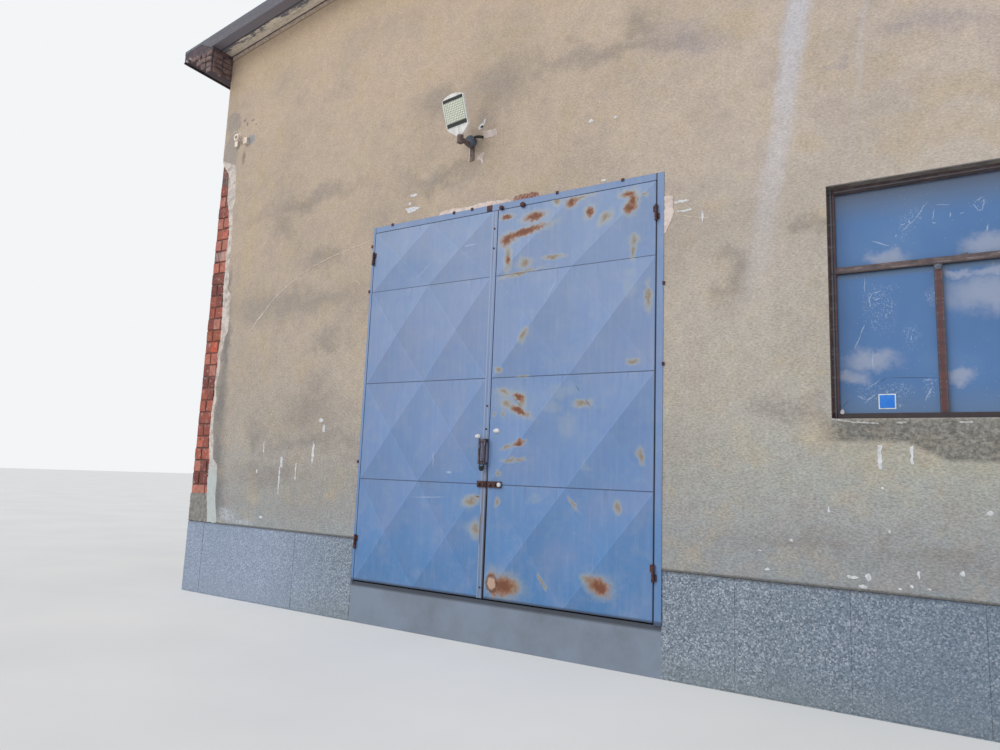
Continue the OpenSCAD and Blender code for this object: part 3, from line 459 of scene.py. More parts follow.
def peeling_board_paint():
    finish, place, apart = new_finish("peeling_oil_paint_on_softwood")
    from_middle = add("Math", links={0: (apart, "Y")}, operation="ABSOLUTE")
    patches = drawn_out(place, (2.2, 9.0, 9.0), Scale=1.6, Detail=8.0, Roughness=0.72)
    grain = drawn_out(place, (6.0, 160.0, 160.0), Detail=4.0)
    wood = add("ValToRGB", links={0: grain}, stops=[(0.3, "#5c5e66"), (0.55, "#7c7d84"), (0.8, "#98949a")])
    paint = add("ValToRGB", links={0: patches},
                stops=[(0.35, "#c4b9a8"), (0.55, "#ded3c2"), (0.75, "#efe7d9")])
    worn = add("Math", {1: -WEAR, 2: WEAR * HALF_DEPTH + 0.22}, {0: from_middle}, operation="MULTIPLY_ADD")
    kept = add("Math", links={0: patches, 1: worn}, operation="ADD")
    left = add("MapRange", {"From Min": 0.43, "From Max": 0.47}, {0: kept})
    face = (add("Mix", links={0: left, A: wood, B: paint}, data_type="RGBA"), RESULT)
    streaks = add("MapRange", {"From Min": 0.5, "From Max": 0.64, "To Max": 0.4}, {0: grain})
    # Two dark bands on the board are painted shade: one on its outer part next to the flashing, and one
    # along the wall.
    painted_shade_by_flashing = add("MapRange", {"From Min": 8.175, "From Max": 8.19, "To Max": 0.9}, {0: from_middle})
    painted_shade_at_wall = step_down(from_middle, 8.02, 8.03, 0.9)
    face = stained(face, (streaks, "#6e6a6c"), (painted_shade_by_flashing, "#30303c"), (painted_shade_at_wall, "#41332f"))
    step = add("Math", {1: 0.25}, {0: grain, 2: left}, operation="MULTIPLY_ADD")
    return surfaced(finish, face, step, 0.5, 0.002, 0.7)


dress(peeling_board_paint(), "verge_boards")

# %% [markdown]
# The roof is profiled steel sheet with folded steel flashings, galvanised once and dull now. The zinc has
# turned to a purple-grey carbonate with darker runs down the slope, so it is rough for a metal. A lap of
# newer sheet shows as a thin blue-green strip along the top of the verge flashing, which is found by its
# height over the roof's underside.

# %% Weathered zinc of the roof
def weathered_zinc(name, dark, middle, pale, metal):
    finish, place, apart = new_finish(name)
    streaks = drawn_out(place, (1.5, 12.0, 12.0), Detail=6.0, Roughness=0.65)
    spangle = add("TexVoronoi", {"Scale": 1 / 0.03}, {0: place})
    shade = add("SeparateXYZ", links={0: (spangle, "Color")})
    level = over_underside(apart)
    along = add("CombineXYZ", links={0: (apart, "X"), 1: level})
    lines = drawn_out(along, (0.6, 45.0, 1.0), Detail=3.0)
    streaks = add("Mix", {0: 0.5}, {2: streaks, 3: lines})
    mixed = add("Math", {1: 0.12}, {0: (shade, "X"), 2: streaks}, operation="MULTIPLY_ADD")
    tone = add("ValToRGB", links={0: mixed}, stops=[(0.35, dark), (0.55, middle), (0.75, pale)])
    facing = add("SeparateXYZ", links={0: (place[0], "Normal")})
    under = add("MapRange", {"From Min": -0.5, "From Max": -0.8, "To Max": 0.6}, {0: (facing, "Z")})
    front = add("Math", links={0: (facing, "Y")}, operation="ABSOLUTE")
    upright = add("MapRange", {"From Min": 0.5, "From Max": 0.9}, {0: front})
    lap = both_masks(upright, near_level(level, 0.162, 0.013, 0.017, 0.85))
    # A dark line on upright faces at the height of the roof's underside is painted shade at the flashing's
    # fold.
    painted_shade_at_fold = both_masks(upright, near_level(level, 0.0, 0.006, 0.014, 0.6))
    coat = stained(tone, (under, "#95929c"), (lap, "#3d4f5c"), (painted_shade_at_fold, "#3c3b40"))
    rough = add("MapRange", {"To Min": 0.5, "To Max": 0.75}, {0: streaks})
    return surfaced(finish, coat, streaks, 0.2, 0.002, rough, Metallic=metal)


flashing_zinc = weathered_zinc("weathered_zinc_flashing", "#383740", "#494852", "#605d68", 0.25)
sheet_zinc = weathered_zinc("weathered_profiled_sheet", "#566066", "#6a7478", "#838a8c", 0.25)
dress(flashing_zinc, "verge_flashings", "eaves_trims", "ridge_cap")
dress(sheet_zinc, "roof_left", "roof_right")

# %% [markdown]
# The purlins are sawn spruce, gone grey-brown indoors. Fibres run along Y, so the noise is stretched that
# way. The trusses are steel angles with a grey primer that has dust on it.

# %% Spruce purlins and primed trusses
def sawn_spruce():
    finish, place, _ = new_finish("sawn_spruce")
    grain = drawn_out(place, (90.0, 2.0, 90.0), Detail=5.0, Distortion=0.6)
    wood = add("ValToRGB", links={0: grain}, stops=[(0.3, "#5f5142"), (0.5, "#7d6a55"), (0.75, "#9b8769")])
    return surfaced(finish, wood, grain, 0.35, 0.002, 0.8)


def primed_steel():
    finish, place, _ = new_finish("grey_primed_angle_steel")
    dust_and_cloud_reflection = add("TexNoise", {"Scale": 6.0, "Detail": 6.0}, {0: place})
    tone = add("ValToRGB", links={0: dust_and_cloud_reflection}, stops=[(0.35, "#5f6264"), (0.55, "#72736f"), (0.75, "#8a8578")])
    rough = add("MapRange", {"To Min": 0.45, "To Max": 0.8}, {0: dust_and_cloud_reflection})
    return surfaced(finish, tone, dust_and_cloud_reflection, 0.15, 0.001, rough)


dress(sawn_spruce(), "purlins")
dress(primed_steel(), "roof_trusses")

# %% [markdown]
# The gates carry blue-grey alkyd enamel, faded by the sun. It is deepest near the ground and chalkier
# higher up. Each sheet has two bays that were creased corner to corner to stiffen it. Painted shade lies
# just right of a crease and turns to painted light towards the next one, as if lit from the upper left, and
# a thin painted highlight runs along the crease.
# Two coordinates find the creases: U counts bays to the right and V counts rows upwards, so U - V is a
# whole number on the creases that rise to the right, and U + V on those that fall.

# %% Sizes of the gates
SPLIT_X, GATE_FOOT, GATE_TOP = -2.055, 0.4, 4.2
GATE_FACE = -8.005
LEAF_LOW, LEAF_HIGH = 0.415, 4.112
SEAMS = (1.445, 2.445, 3.445)
LEFT_LEAF, RIGHT_LEAF = (-3.639, -2.122), (-2.051, -0.443)
LEAF_GAPS = ((-3.642, 0.004), (-0.440, 0.009))  # the gaps along the hinges, painted dark as shade, as x and half width
print("bays:", round((LEFT_LEAF[1] - LEFT_LEAF[0]) / 2, 3), round((RIGHT_LEAF[1] - RIGHT_LEAF[0]) / 2, 3))

# %% [markdown]
# Rust breaks through where water stands. Strong rust is red-brown with a darker core, and weak rust is only
# a brown cloud in the paint. Both have a yellowish-grey halo of stained enamel. All marks are written as x
# to the right of the meeting line, z above the gateway's foot, half width, half height and turn.

# %% Rust and wear on the gates
STRONG_RUST = [(0.1, 3.629, 0.055, 0.02, 0), (0.414, 3.582, 0.09, 0.036, 6), (0.3, 3.445, 0.2, 0.028, 8),
               (0.115, 3.395, 0.06, 0.045, 25), (0.8, 3.659, 0.045, 0.035, 20),
               (0.987, 3.532, 0.025, 0.04, 0), (1.36, 3.63, 0.05, 0.022, 0), (1.4, 3.57, 0.03, 0.05, 0),
               (0.13, 3.19, 0.02, 0.035, 0), (0.312, 1.859, 0.046, 0.026, -20),
               (0.317, 1.729, 0.09, 0.026, -25), (0.213, 0.148, 0.12, 0.07, 0),
               (1.146, 0.243, 0.085, 0.055, -20), (0.105, 0.15, 0.04, 0.09, 8),
               (1.375, 3.503, 0.045, 0.045, 40), (0.323, 1.432, 0.05, 0.02, 15),
               (-0.097, 0.933, 0.016, 0.008, 25)]
WEAK_RUST = [(0.88, 3.68, 0.09, 0.014, 8), (0.645, 3.69, 0.03, 0.03, 0), (0.987, 3.532, 0.035, 0.045, 0),
             (1.145, 3.449, 0.055, 0.034, 35), (1.342, 3.639, 0.055, 0.022, 0),
             (1.405, 3.57, 0.035, 0.07, 0), (1.499, 3.61, 0.03, 0.014, 0), (1.413, 3.206, 0.03, 0.034, 0),
             (0.13, 3.21, 0.03, 0.1, 0), (0.322, 3.137, 0.05, 0.036, 0), (0.621, 3.157, 0.08, 0.013, 0),
             (0.26, 3.04, 0.15, 0.012, 8), (1.546, 2.68, 0.018, 0.08, 0), (0.339, 2.44, 0.05, 0.03, 60),
             (1.418, 2.136, 0.035, 0.02, 0), (1.405, 3.1, 0.02, 0.05, 0), (0.066, 2.13, 0.02, 0.016, 0),
             (0.079, 2.119, 0.025, 0.02, 0), (0.35, 2.053, 0.04, 0.008, 0),
             (0.152, 1.903, 0.058, 0.022, -15), (0.343, 1.8, 0.03, 0.036, 0),
             (0.182, 1.794, 0.044, 0.026, -40), (0.06, 1.703, 0.012, 0.014, 0),
             (0.147, 1.702, 0.012, 0.014, 0), (0.96, 1.785, 0.06, 0.024, 0), (0.2, 1.39, 0.04, 0.016, 12),
             (0.233, 1.275, 0.05, 0.016, 0), (0.333, 1.277, 0.04, 0.014, 0), (0.12, 1.144, 0.02, 0.016, 0),
             (1.5, 1.334, 0.02, 0.045, 20), (0.608, 0.226, 0.045, 0.012, -55),
             (0.888, 0.91, 0.045, 0.012, -50), (1.295, 0.907, 0.02, 0.035, 0),
             (0.115, 0.888, 0.02, 0.03, 0), (1.045, 0.289, 0.05, 0.03, -25), (0.33, 0.16, 0.05, 0.05, 0),
             (-0.174, 0.885, 0.06, 0.035, 15), (-0.104, 0.629, 0.035, 0.055, 0)]
FADED = [(1.371, 2.923, 0.07, 0.03, 0), (1.371, 2.8, 0.05, 0.1, 0), (0.82, 1.594, 0.09, 0.12, 0),
         (1.004, 1.214, 0.05, 0.03, 0), (-0.19, 0.86, 0.09, 0.07, 15), (-0.15, 0.63, 0.07, 0.08, 0),
         (0.75, 1.9, 0.16, 0.07, 10), (0.66, 1.76, 0.1, 0.05, 10), (0.5, 0.92, 0.07, 0.04, 0),
         (0.24, 1.82, 0.22, 0.16, -10)]
PALE_WEAR = [(-0.68, 0.895, 0.2, 0.004, 3), (-0.639, 1.26, 0.005, 0.09, 2),
             (-0.444, 1.145, 0.035, 0.012, 0), (-0.31, 3.4, 0.08, 0.005, 3), (-0.9, 3.2, 0.12, 0.003, 40),
             (0.62, 2.86, 0.09, 0.003, 60)]
DARK_LINES = [(0.907, 1.918, 0.035, 0.006, -52), (1.01, 1.785, 0.05, 0.005, -52),
              (0.3, 1.8, 0.09, 0.004, -45), (0.06, 3.62, 0.004, 0.05, 0)]
print(len(STRONG_RUST), "strong and", len(WEAK_RUST), "weak rust marks")


# %% Helpers for the gates' marks
def on_leaf(marks, leaf):
    """The marks that touch a leaf, moved to their places in the hall."""
    moved = [(SPLIT_X + x, GATE_FOOT + z, across, up, turn) for x, z, across, up, turn in marks]
    return [mark for mark in moved if leaf[0] - 0.1 < mark[0] < leaf[1] + 0.1]


def painted_crease_shading(place, apart, leaf, depth):
    """Painted light and shade round the creases of a leaf, and how high up its row a point lies, 0 to 1."""
    bay = (leaf[1] - leaf[0]) / 2
    across = add("MapRange", {"From Min": leaf[0], "From Max": leaf[0] + bay}, {0: (apart, "X")},
                 clamp=False)
    levels = (LEAF_LOW,) + SEAMS + (LEAF_HIGH,)
    up = folded("ADD", *[add("MapRange", {"From Min": low, "From Max": high}, {0: (apart, "Z")})
                         for low, high in zip(levels, levels[1:])])
    up_right = add("Math", links={0: across, 1: up}, operation="SUBTRACT")
    down_right = add("Math", links={0: across, 1: up}, operation="ADD")
    soft = add("TexNoise", {"Scale": 1.9, "Detail": 4.0}, {0: place})
    swell = add("MapRange", {"From Min": 0.3, "From Max": 0.7, "To Min": 0.5, "To Max": 1.4}, {0: soft})
    changes = []
    # Each crease gets painted shade on its right, painted light towards the next crease, and a thin painted
    # highlight along it.
    for crease, deepness, dark, pale, line in ((up_right, 1.0, -0.08, 0.045, 0.12),
                                               (down_right, depth, -0.06, 0.03, 0.09)):
        way = add("Math", links={0: crease}, operation="FRACT")
        slope = add("MapRange", {"To Min": dark * deepness, "To Max": pale * deepness}, {0: way})
        away = add("Math", {1: 0.5}, {0: crease}, operation="PINGPONG")
        lit = step_down(away, 0.003, 0.015, line * deepness)
        changes += [both_masks(slope, swell), lit]
    tone = add("Math", {1: 1.0}, {0: folded("ADD", *changes)}, operation="ADD")
    return tone, add("Math", links={0: up}, operation="FRACT")


def rusted(place, paint, leaf):
    """Rust over the paint of one leaf: the new colour, and the mask of what is rough."""
    flecks = add("TexNoise", {"Scale": 1 / 0.025, "Detail": 5.0, "Roughness": 0.7}, {0: place})
    weak = nearest_mark(shaken_place(0.05, 0.06), on_leaf(WEAK_RUST, leaf))
    weak = add("Math", {1: 0.9}, {0: flecks, 2: weak}, operation="MULTIPLY_ADD")
    strong = nearest_mark(shaken_place(0.055, 0.05), on_leaf(STRONG_RUST, leaf))
    strong = add("Math", {1: 0.9}, {0: flecks, 2: strong}, operation="MULTIPLY_ADD")
    faded = marked(on_leaf(FADED, leaf), 0.1, 0.12, 0.4, 1.4, 0.35)
    halo = add("Math", links={0: weak, 1: strong}, operation="MINIMUM")
    body = step_down(strong, 1.15, 2.1, 0.92)
    rough = add("Math", links={0: body, 1: step_down(weak, 0.8, 1.7, 0.8)}, operation="MAXIMUM")
    paint = stained(paint, (faded, "#8f9da8"), (step_down(halo, 1.2, 3.0, 0.6), "#a2a294"),
                    (step_down(weak, 0.5, 2.0, 0.9), "#86745e"), (body, "#8c5f3f"),
                    (step_down(strong, 0.8, 1.5, 0.85), "#673722"))
    return paint, rough


# %% Enamel of the gates
def faded_gate_enamel(name, leaf=None, smears=0.15):
    finish, place, apart = new_finish(name)
    height = add("MapRange", {"From Min": GATE_FOOT, "From Max": GATE_TOP}, {0: (apart, "Z")})
    paint = add("ValToRGB", links={0: height},
                stops=[(0.0, "#4878a9"), (0.13, "#537fb1"), (0.4, "#6b88b3"), (0.67, "#7189b0"),
                       (0.9, "#7189ae")])
    chalk = add("TexNoise", {"Scale": 1.7, "Detail": 5.0, "Roughness": 0.6}, {0: place})
    violet = add("MapRange", {"From Min": 0.46, "From Max": 0.72, "To Max": 0.5}, {0: chalk})
    deep = add("MapRange", {"From Min": 0.46, "From Max": 0.28, "To Max": 0.5}, {0: chalk})
    smear = drawn_out(place, (26.0, 26.0, 2.6), Detail=4.0, Roughness=0.6)
    smear = add("MapRange", {"From Min": 0.52, "From Max": 0.72, "To Max": smears}, {0: smear})
    blots = add("TexNoise", {"Scale": 6.0, "Detail": 5.0, "Roughness": 0.65}, {0: place})
    grey = add("MapRange", {"From Min": 0.5, "From Max": 0.68, "To Max": 0.25}, {0: blots})
    blue = add("MapRange", {"From Min": 0.46, "From Max": 0.32, "To Max": 0.3}, {0: blots})
    paint = stained(paint, (violet, "#7e8aad"), (deep, "#5779aa"), (smear, "#a3b0c8"), (grey, "#8d99b0"),
                    (blue, "#5f82b6"))

    strokes = drawn_out(place, (42.0, 42.0, 1.1), Detail=3.0)
    tone = add("Math", {1: 0.16, 2: 0.92}, {0: strokes}, operation="MULTIPLY_ADD")
    rough = chalk
    if leaf:
        crease_shading, row_height = painted_crease_shading(place, apart, leaf, 1.0 if leaf is LEFT_LEAF else 0.45)
        tone = both_masks(tone, crease_shading)
    paint = add("VectorMath", links={0: paint, 3: tone}, operation="SCALE")
    if leaf:
        # Dirty water runs down from each seam in short dark lines, and a dark line of painted shade lies in
        # the seam itself.
        run_mask = add("MapRange", {"From Min": 0.82, "From Max": 1.0}, {0: row_height})
        lines = add("MapRange", {"From Min": 0.56, "From Max": 0.68, "To Max": 0.5}, {0: strokes})
        runs = both_masks(run_mask, lines)
        above = add("Math", {1: 0.5}, {0: row_height}, operation="PINGPONG")
        grime_and_shade = step_down(above, 0.002, 0.0065, 0.9)
        worn = marked(on_leaf(PALE_WEAR, leaf), 0.012, 0.05, 0.5, 1.3, 0.5)
        paint = stained(paint, (runs, "#54698f"), (grime_and_shade, "#38445c"), (worn, "#b4c0d3"))
        paint, rough = rusted(place, paint, leaf)
        dark = on_leaf(DARK_LINES, leaf)
        if dark and leaf is RIGHT_LEAF:
            dark = marked(dark, 0.006, 0.03, 0.5, 1.3, 0.7)
            peeled = on_leaf([(0.090, 0.160, 0.05, 0.062, 6)], leaf)
            peeled = nearest_mark(shaken_place(0.03, 0.03), peeled)
            paint = stained(paint, (dark, "#4d5160"), (step_down(peeled, 1.1, 1.5, 0.8), "#5c3a2a"),
                            (step_down(peeled, 0.7, 1.05, 0.9), "#b89b86"))
    # Painted shade darkens the gaps along the hinges and the meeting line, and a painted shadow darkens the
    # leaves' foot.
    grime_and_shade = folded("MAXIMUM", *[near_level((apart, "X"), x, half * 0.5, half * 1.4, 0.85)
                                for x, half in LEAF_GAPS])
    low = step_down((apart, "Z"), 1.3, 1.6)
    meeting = add("MapRange", {"From Min": SPLIT_X - 0.02, "From Max": SPLIT_X - 0.012}, {0: (apart, "X")})
    meeting = both_masks(low, meeting, step_down((apart, "X"), SPLIT_X + 0.006, SPLIT_X + 0.012))
    foot = step_down((apart, "Z"), LEAF_LOW + 0.004, LEAF_LOW + 0.03, 0.8)
    paint = stained(paint, (foot, "#2e3646"), (grime_and_shade, "#252b3a"), (meeting, "#20222b"))
    roughness = add("MapRange", {"To Min": 0.42, "To Max": 0.7}, {0: rough})
    return surfaced(finish, paint, strokes, 0.25, 0.001, roughness)


left_enamel = faded_gate_enamel("faded_enamel_left_leaf", LEFT_LEAF, 0.07)
right_enamel = faded_gate_enamel("faded_enamel_right_leaf", RIGHT_LEAF, 0.12)
frame_enamel = faded_gate_enamel("faded_enamel_gate_frame")
dress(left_enamel, "left_leaf_sheets")
dress(right_enamel, "right_leaf_sheets")
dress(frame_enamel, "gate_jambs", "gate_head", "left_leaf_frame", "right_leaf_frame")

# %% [markdown]
# The strip that covers the meeting gap is the most handled part. Its two folded edges are worn pale, its
# lower half is stained grey-brown, and a thin line of rust has run down one edge.

# %% Enamel of the cover strip
def cover_strip_enamel():
    finish, place, apart = new_finish("worn_enamel_cover_strip")
    height = add("MapRange", {"From Min": GATE_FOOT, "From Max": GATE_TOP}, {0: (apart, "Z")})
    paint = add("ValToRGB", links={0: height},
                stops=[(0.0, "#5f789c"), (0.25, "#6a7e9f"), (0.5, "#7185a9"), (1.0, "#7b8dae")])
    strokes = drawn_out(place, (60.0, 60.0, 2.0), Detail=4.0)
    blots = add("TexNoise", {"Scale": 6.0, "Detail": 6.0, "Roughness": 0.7}, {0: place})
    edges = add("Math", links={0: near_level((apart, "X"), -2.119, 0.002, 0.007, 0.5),
                               1: near_level((apart, "X"), -2.082, 0.002, 0.006, 0.35)}, operation="ADD")
    low = step_down((apart, "Z"), 1.0, 1.9)
    brown = both_masks(low, add("MapRange", {"From Min": 0.42, "From Max": 0.62, "To Max": 0.6}, {0: blots}))
    line = both_masks(near_level((apart, "X"), -2.114, 0.003, 0.008),
                      near_level((apart, "Z"), 1.03, 0.09, 0.18, 0.8))
    run = both_masks(near_level((apart, "X"), -2.1, 0.003, 0.007),
                     add("MapRange", {"From Min": 0.5, "From Max": 0.62, "To Max": 0.6}, {0: strokes}))
    shadow = add("MapRange", {"From Min": -2.077, "From Max": -2.068, "To Max": 0.92}, {0: (apart, "X")})
    shadow = both_masks(shadow, step_down((apart, "Z"), 1.1, 2.1))
    paint = stained(paint, (edges, "#b0bccc"), (brown, "#847c78"), (run, "#6c5a50"), (line, "#5c4233"),
                    (shadow, "#20222b"))
    return surfaced(finish, paint, strokes, 0.3, 0.001, 0.55)


dress(cover_strip_enamel(), "cover_strip")

# %% [markdown]
# Hinges, latch and pull handle are plain steel that has rusted all over. Old rust is dark red-brown with
# lighter orange bloom, rough, and hardly metallic any more. The lamp bracket is the same steel with grey
# paint left on it and a stripe of white wall paint down one edge. The padlock is darker and still has some
# metallic shine.

# %% Rusty steel, bracket paint and lock steel
def rusty_steel(name, deep, body, bloom, metal, rough_low, rough_high, painted=()):
    finish, place, apart = new_finish(name)
    coarse = add("TexNoise", {"Scale": 30.0, "Detail": 6.0, "Roughness": 0.7}, {0: place})
    fine = add("TexNoise", {"Scale": 220.0, "Detail": 3.0}, {0: place})
    mixed = add("Math", {1: 0.4, 2: -0.1}, {0: fine}, operation="MULTIPLY_ADD")
    mixed = add("Math", links={0: coarse, 1: mixed}, operation="ADD")
    coat = add("ValToRGB", links={0: mixed}, stops=[(0.4, deep), (0.6, body), (0.78, bloom)])
    shaken = add("Math", {1: 0.01}, {0: coarse, 2: (apart, "X")}, operation="MULTIPLY_ADD")
    for axis, level, half, code, alpha in painted:
        source = shaken if axis == "X" else (apart, axis)
        coat = stained(coat, (near_level(source, level, half * 0.7, half * 1.3, alpha), code))
    rough = add("MapRange", {"To Min": rough_low, "To Max": rough_high}, {0: coarse})
    return surfaced(finish, coat, mixed, 0.5, 0.001, rough, Metallic=metal)


old_rust = rusty_steel("rusted_wrought_steel", "#241a1c", "#44292a", "#7d4a3a", 0.2, 0.6, 0.9)
handle_steel = rusty_steel("painted_handle_steel", "#281c20", "#3e3038", "#756f7c", 0.2, 0.5, 0.8,
                           [("Y", -8.010, 0.0025, "#77809a", 0.6)])
bracket_steel = rusty_steel("painted_bracket_steel", "#453a38", "#6a5a56", "#8d7468", 0.1, 0.6, 0.9,
                            [("X", -2.4315, 0.0055, "#d3cdca", 0.85)])
lock_steel = rusty_steel("blackened_lock_steel", "#1f2224", "#343a3c", "#5a5a57", 0.7, 0.3, 0.55)
dress(old_rust, "gate_hinge_pins", "left_leaf_hinges", "right_leaf_hinges", "latch_left", "latch_right")
dress(handle_steel, "pull_handle")
dress(bracket_steel, "lamp_bracket")
dress(lock_steel, "padlock")

# %% [markdown]
# The windows are welded steel bars with brown oil paint. It has weathered to a dark purple-brown, is nearly
# black along the foot where water stands, and redder on the mullion where the primer shows. The panes are
# old drawn glass. Their blue is a painted reflection of the sky, with soft pale painted reflections of
# clouds, and they have many fine scratches and two cracks in the pane by the gates. Under the top bar the
# glass is greyer.

# %% Window paint
WINDOW_LOW, WINDOW_HIGH, MULLION = (0.896, 2.031), (3.716, 3.809), 1.601


def window_oil_paint():
    finish, place, apart = new_finish("brown_oil_paint_on_steel")
    wear = add("TexNoise", {"Scale": 14.0, "Detail": 7.0, "Roughness": 0.75}, {0: place})
    tone = add("ValToRGB", links={0: wear},
               stops=[(0.3, "#352d31"), (0.46, "#4a3f42"), (0.6, "#5d4c4b"), (0.75, "#86797a")])
    lines = drawn_out(place, (8.0, 60.0, 60.0), Detail=4.0)
    bare = add("MapRange", {"From Min": 0.56, "From Max": 0.66, "To Max": 0.55}, {0: lines})
    front = step_down((apart, "Y"), *WINDOW_FRONT)
    lower = both_masks(front, step_down((apart, "Z"), 3.12, 3.135))
    primer = both_masks(lower, near_level((apart, "X"), MULLION, 0.013, 0.022, 0.85))
    edges = folded("MAXIMUM", *[near_level((apart, "X"), MULLION + side * 0.0245, 0.002, 0.005, 0.8)
                                for side in (-1, 1)])
    edges = both_masks(lower, edges)
    foot = both_masks(front, step_down((apart, "Z"), WINDOW_LOW[1] + 0.04, WINDOW_LOW[1] + 0.06, 0.85))
    red = both_masks(primer,
                     add("MapRange", {"From Min": 0.48, "From Max": 0.62, "To Max": 0.55}, {0: wear}))
    coat = stained(tone, (bare, "#8d8181"), (primer, "#4a2a2e"), (edges, "#2d3444"), (red, "#6a3431"),
                   (foot, "#2a2227"))
    # Thin painted highlights and lines of painted shade stand for the folds of the steel sections along the
    # top bar and the left one.
    for axis, level, half, most, code in (("Z", WINDOW_HIGH[1] - 0.026, 0.004, 0.55, "#8f8d93"),
                                          ("Z", WINDOW_HIGH[1] - 0.039, 0.006, 0.8, "#2d2c35"),
                                          ("X", WINDOW_LOW[0] + 0.020, 0.004, 0.6, "#7e8a97"),
                                          ("X", WINDOW_LOW[0] + 0.029, 0.004, 0.8, "#20222a"),
                                          ("X", WINDOW_LOW[0] + 0.040, 0.005, 0.7, "#5f3c40"),
                                          ("Z", 3.137, 0.005, 0.8, "#2c2529")):
        mask = near_level((apart, axis), level, half * 0.6, half * 1.4, most)
        coat = stained(coat, (both_masks(front, mask), code))
    return surfaced(finish, coat, wear, 0.4, 0.001, 0.6)


window_paint = window_oil_paint()
dress(window_paint, "front_window_frame", "side_and_back_window_frames")

# %% Painted cloud reflections, smears, scratches and cracks on the gable's glass, as x, z, half width, half height and turn
CLOUD_REFLECTIONS = [(1.277, 3.225, 0.15, 0.06, 0), (1.902, 3.246, 0.17, 0.09, 0), (1.149, 2.471, 0.19, 0.085, 0),
        (1.026, 2.342, 0.11, 0.06, 0), (1.9, 2.9, 0.30, 0.14, 0), (1.729, 3.05, 0.12, 0.03, 0),
        (1.95, 3.06, 0.2, 0.04, 0), (1.699, 2.33, 0.08, 0.045, 0), (2.6, 3.3, 0.45, 0.1, 5),
        (2.7, 2.6, 0.3, 0.15, 0), (3.35, 2.95, 0.25, 0.16, 0)]
SMEARS = [(1.142, 2.225, 0.08, 0.07, 0), (1.518, 2.252, 0.04, 0.075, 0), (1.348, 2.121, 0.03, 0.018, 0),
          (1.189, 2.933, 0.04, 0.06, 0), (1.31, 3.0, 0.03, 0.03, 0), (1.40, 3.37, 0.05, 0.03, 0),
          (1.58, 3.03, 0.01, 0.04, 0), (1.55, 2.9, 0.03, 0.08, 0), (1.86, 3.55, 0.05, 0.03, 0),
          (1.3, 2.24, 0.13, 0.06, 0), (1.22, 2.85, 0.10, 0.18, 8), (1.42, 2.62, 0.05, 0.1, 0),
          (1.45, 3.5, 0.08, 0.06, 40)]
SCRATCHES = [(1.509, 3.551, 0.079, 0.003, 55), (1.426, 3.454, 0.057, 0.003, 42),
             (1.244, 3.344, 0.062, 0.004, -26), (1.347, 3.385, 0.012, 0.004, 49),
             (1.392, 3.464, 0.014, 0.004, 17), (1.587, 3.512, 0.045, 0.0025, 77),
             (1.589, 3.448, 0.015, 0.004, -32), (1.69, 3.494, 0.02, 0.004, -89),
             (1.646, 3.576, 0.044, 0.0025, -8), (1.762, 3.494, 0.015, 0.003, -3),
             (1.844, 3.525, 0.031, 0.003, -64), (1.869, 3.5, 0.017, 0.0035, -3),
             (1.888, 3.533, 0.039, 0.003, 80), (1.868, 3.583, 0.017, 0.003, 46),
             (1.902, 3.365, 0.02, 0.005, 76), (1.13, 3.035, 0.054, 0.003, -94),
             (1.16, 2.898, 0.035, 0.003, 96), (1.168, 2.948, 0.026, 0.003, 60),
             (1.206, 2.974, 0.031, 0.003, 14), (1.212, 2.923, 0.022, 0.003, 20),
             (1.107, 2.7, 0.041, 0.004, 70), (1.074, 2.616, 0.056, 0.003, 67),
             (1.168, 2.473, 0.067, 0.003, -92), (1.186, 2.507, 0.021, 0.0025, 18),
             (1.164, 2.285, 0.061, 0.0025, 38), (1.143, 2.187, 0.053, 0.003, 41),
             (1.085, 2.192, 0.031, 0.003, -34), (1.51, 2.213, 0.054, 0.004, 66),
             (1.508, 2.31, 0.028, 0.003, 1), (1.417, 2.616, 0.018, 0.003, -85)]
CRACKS = [(1.232, 2.321, 0.027, 0.003, 34), (1.418, 2.33, 0.163, 0.003, -2), (0.978, 2.15, 0.038, 0.003, 50)]
print(len(SCRATCHES), "scratches and", len(CRACKS), "stretches of crack")


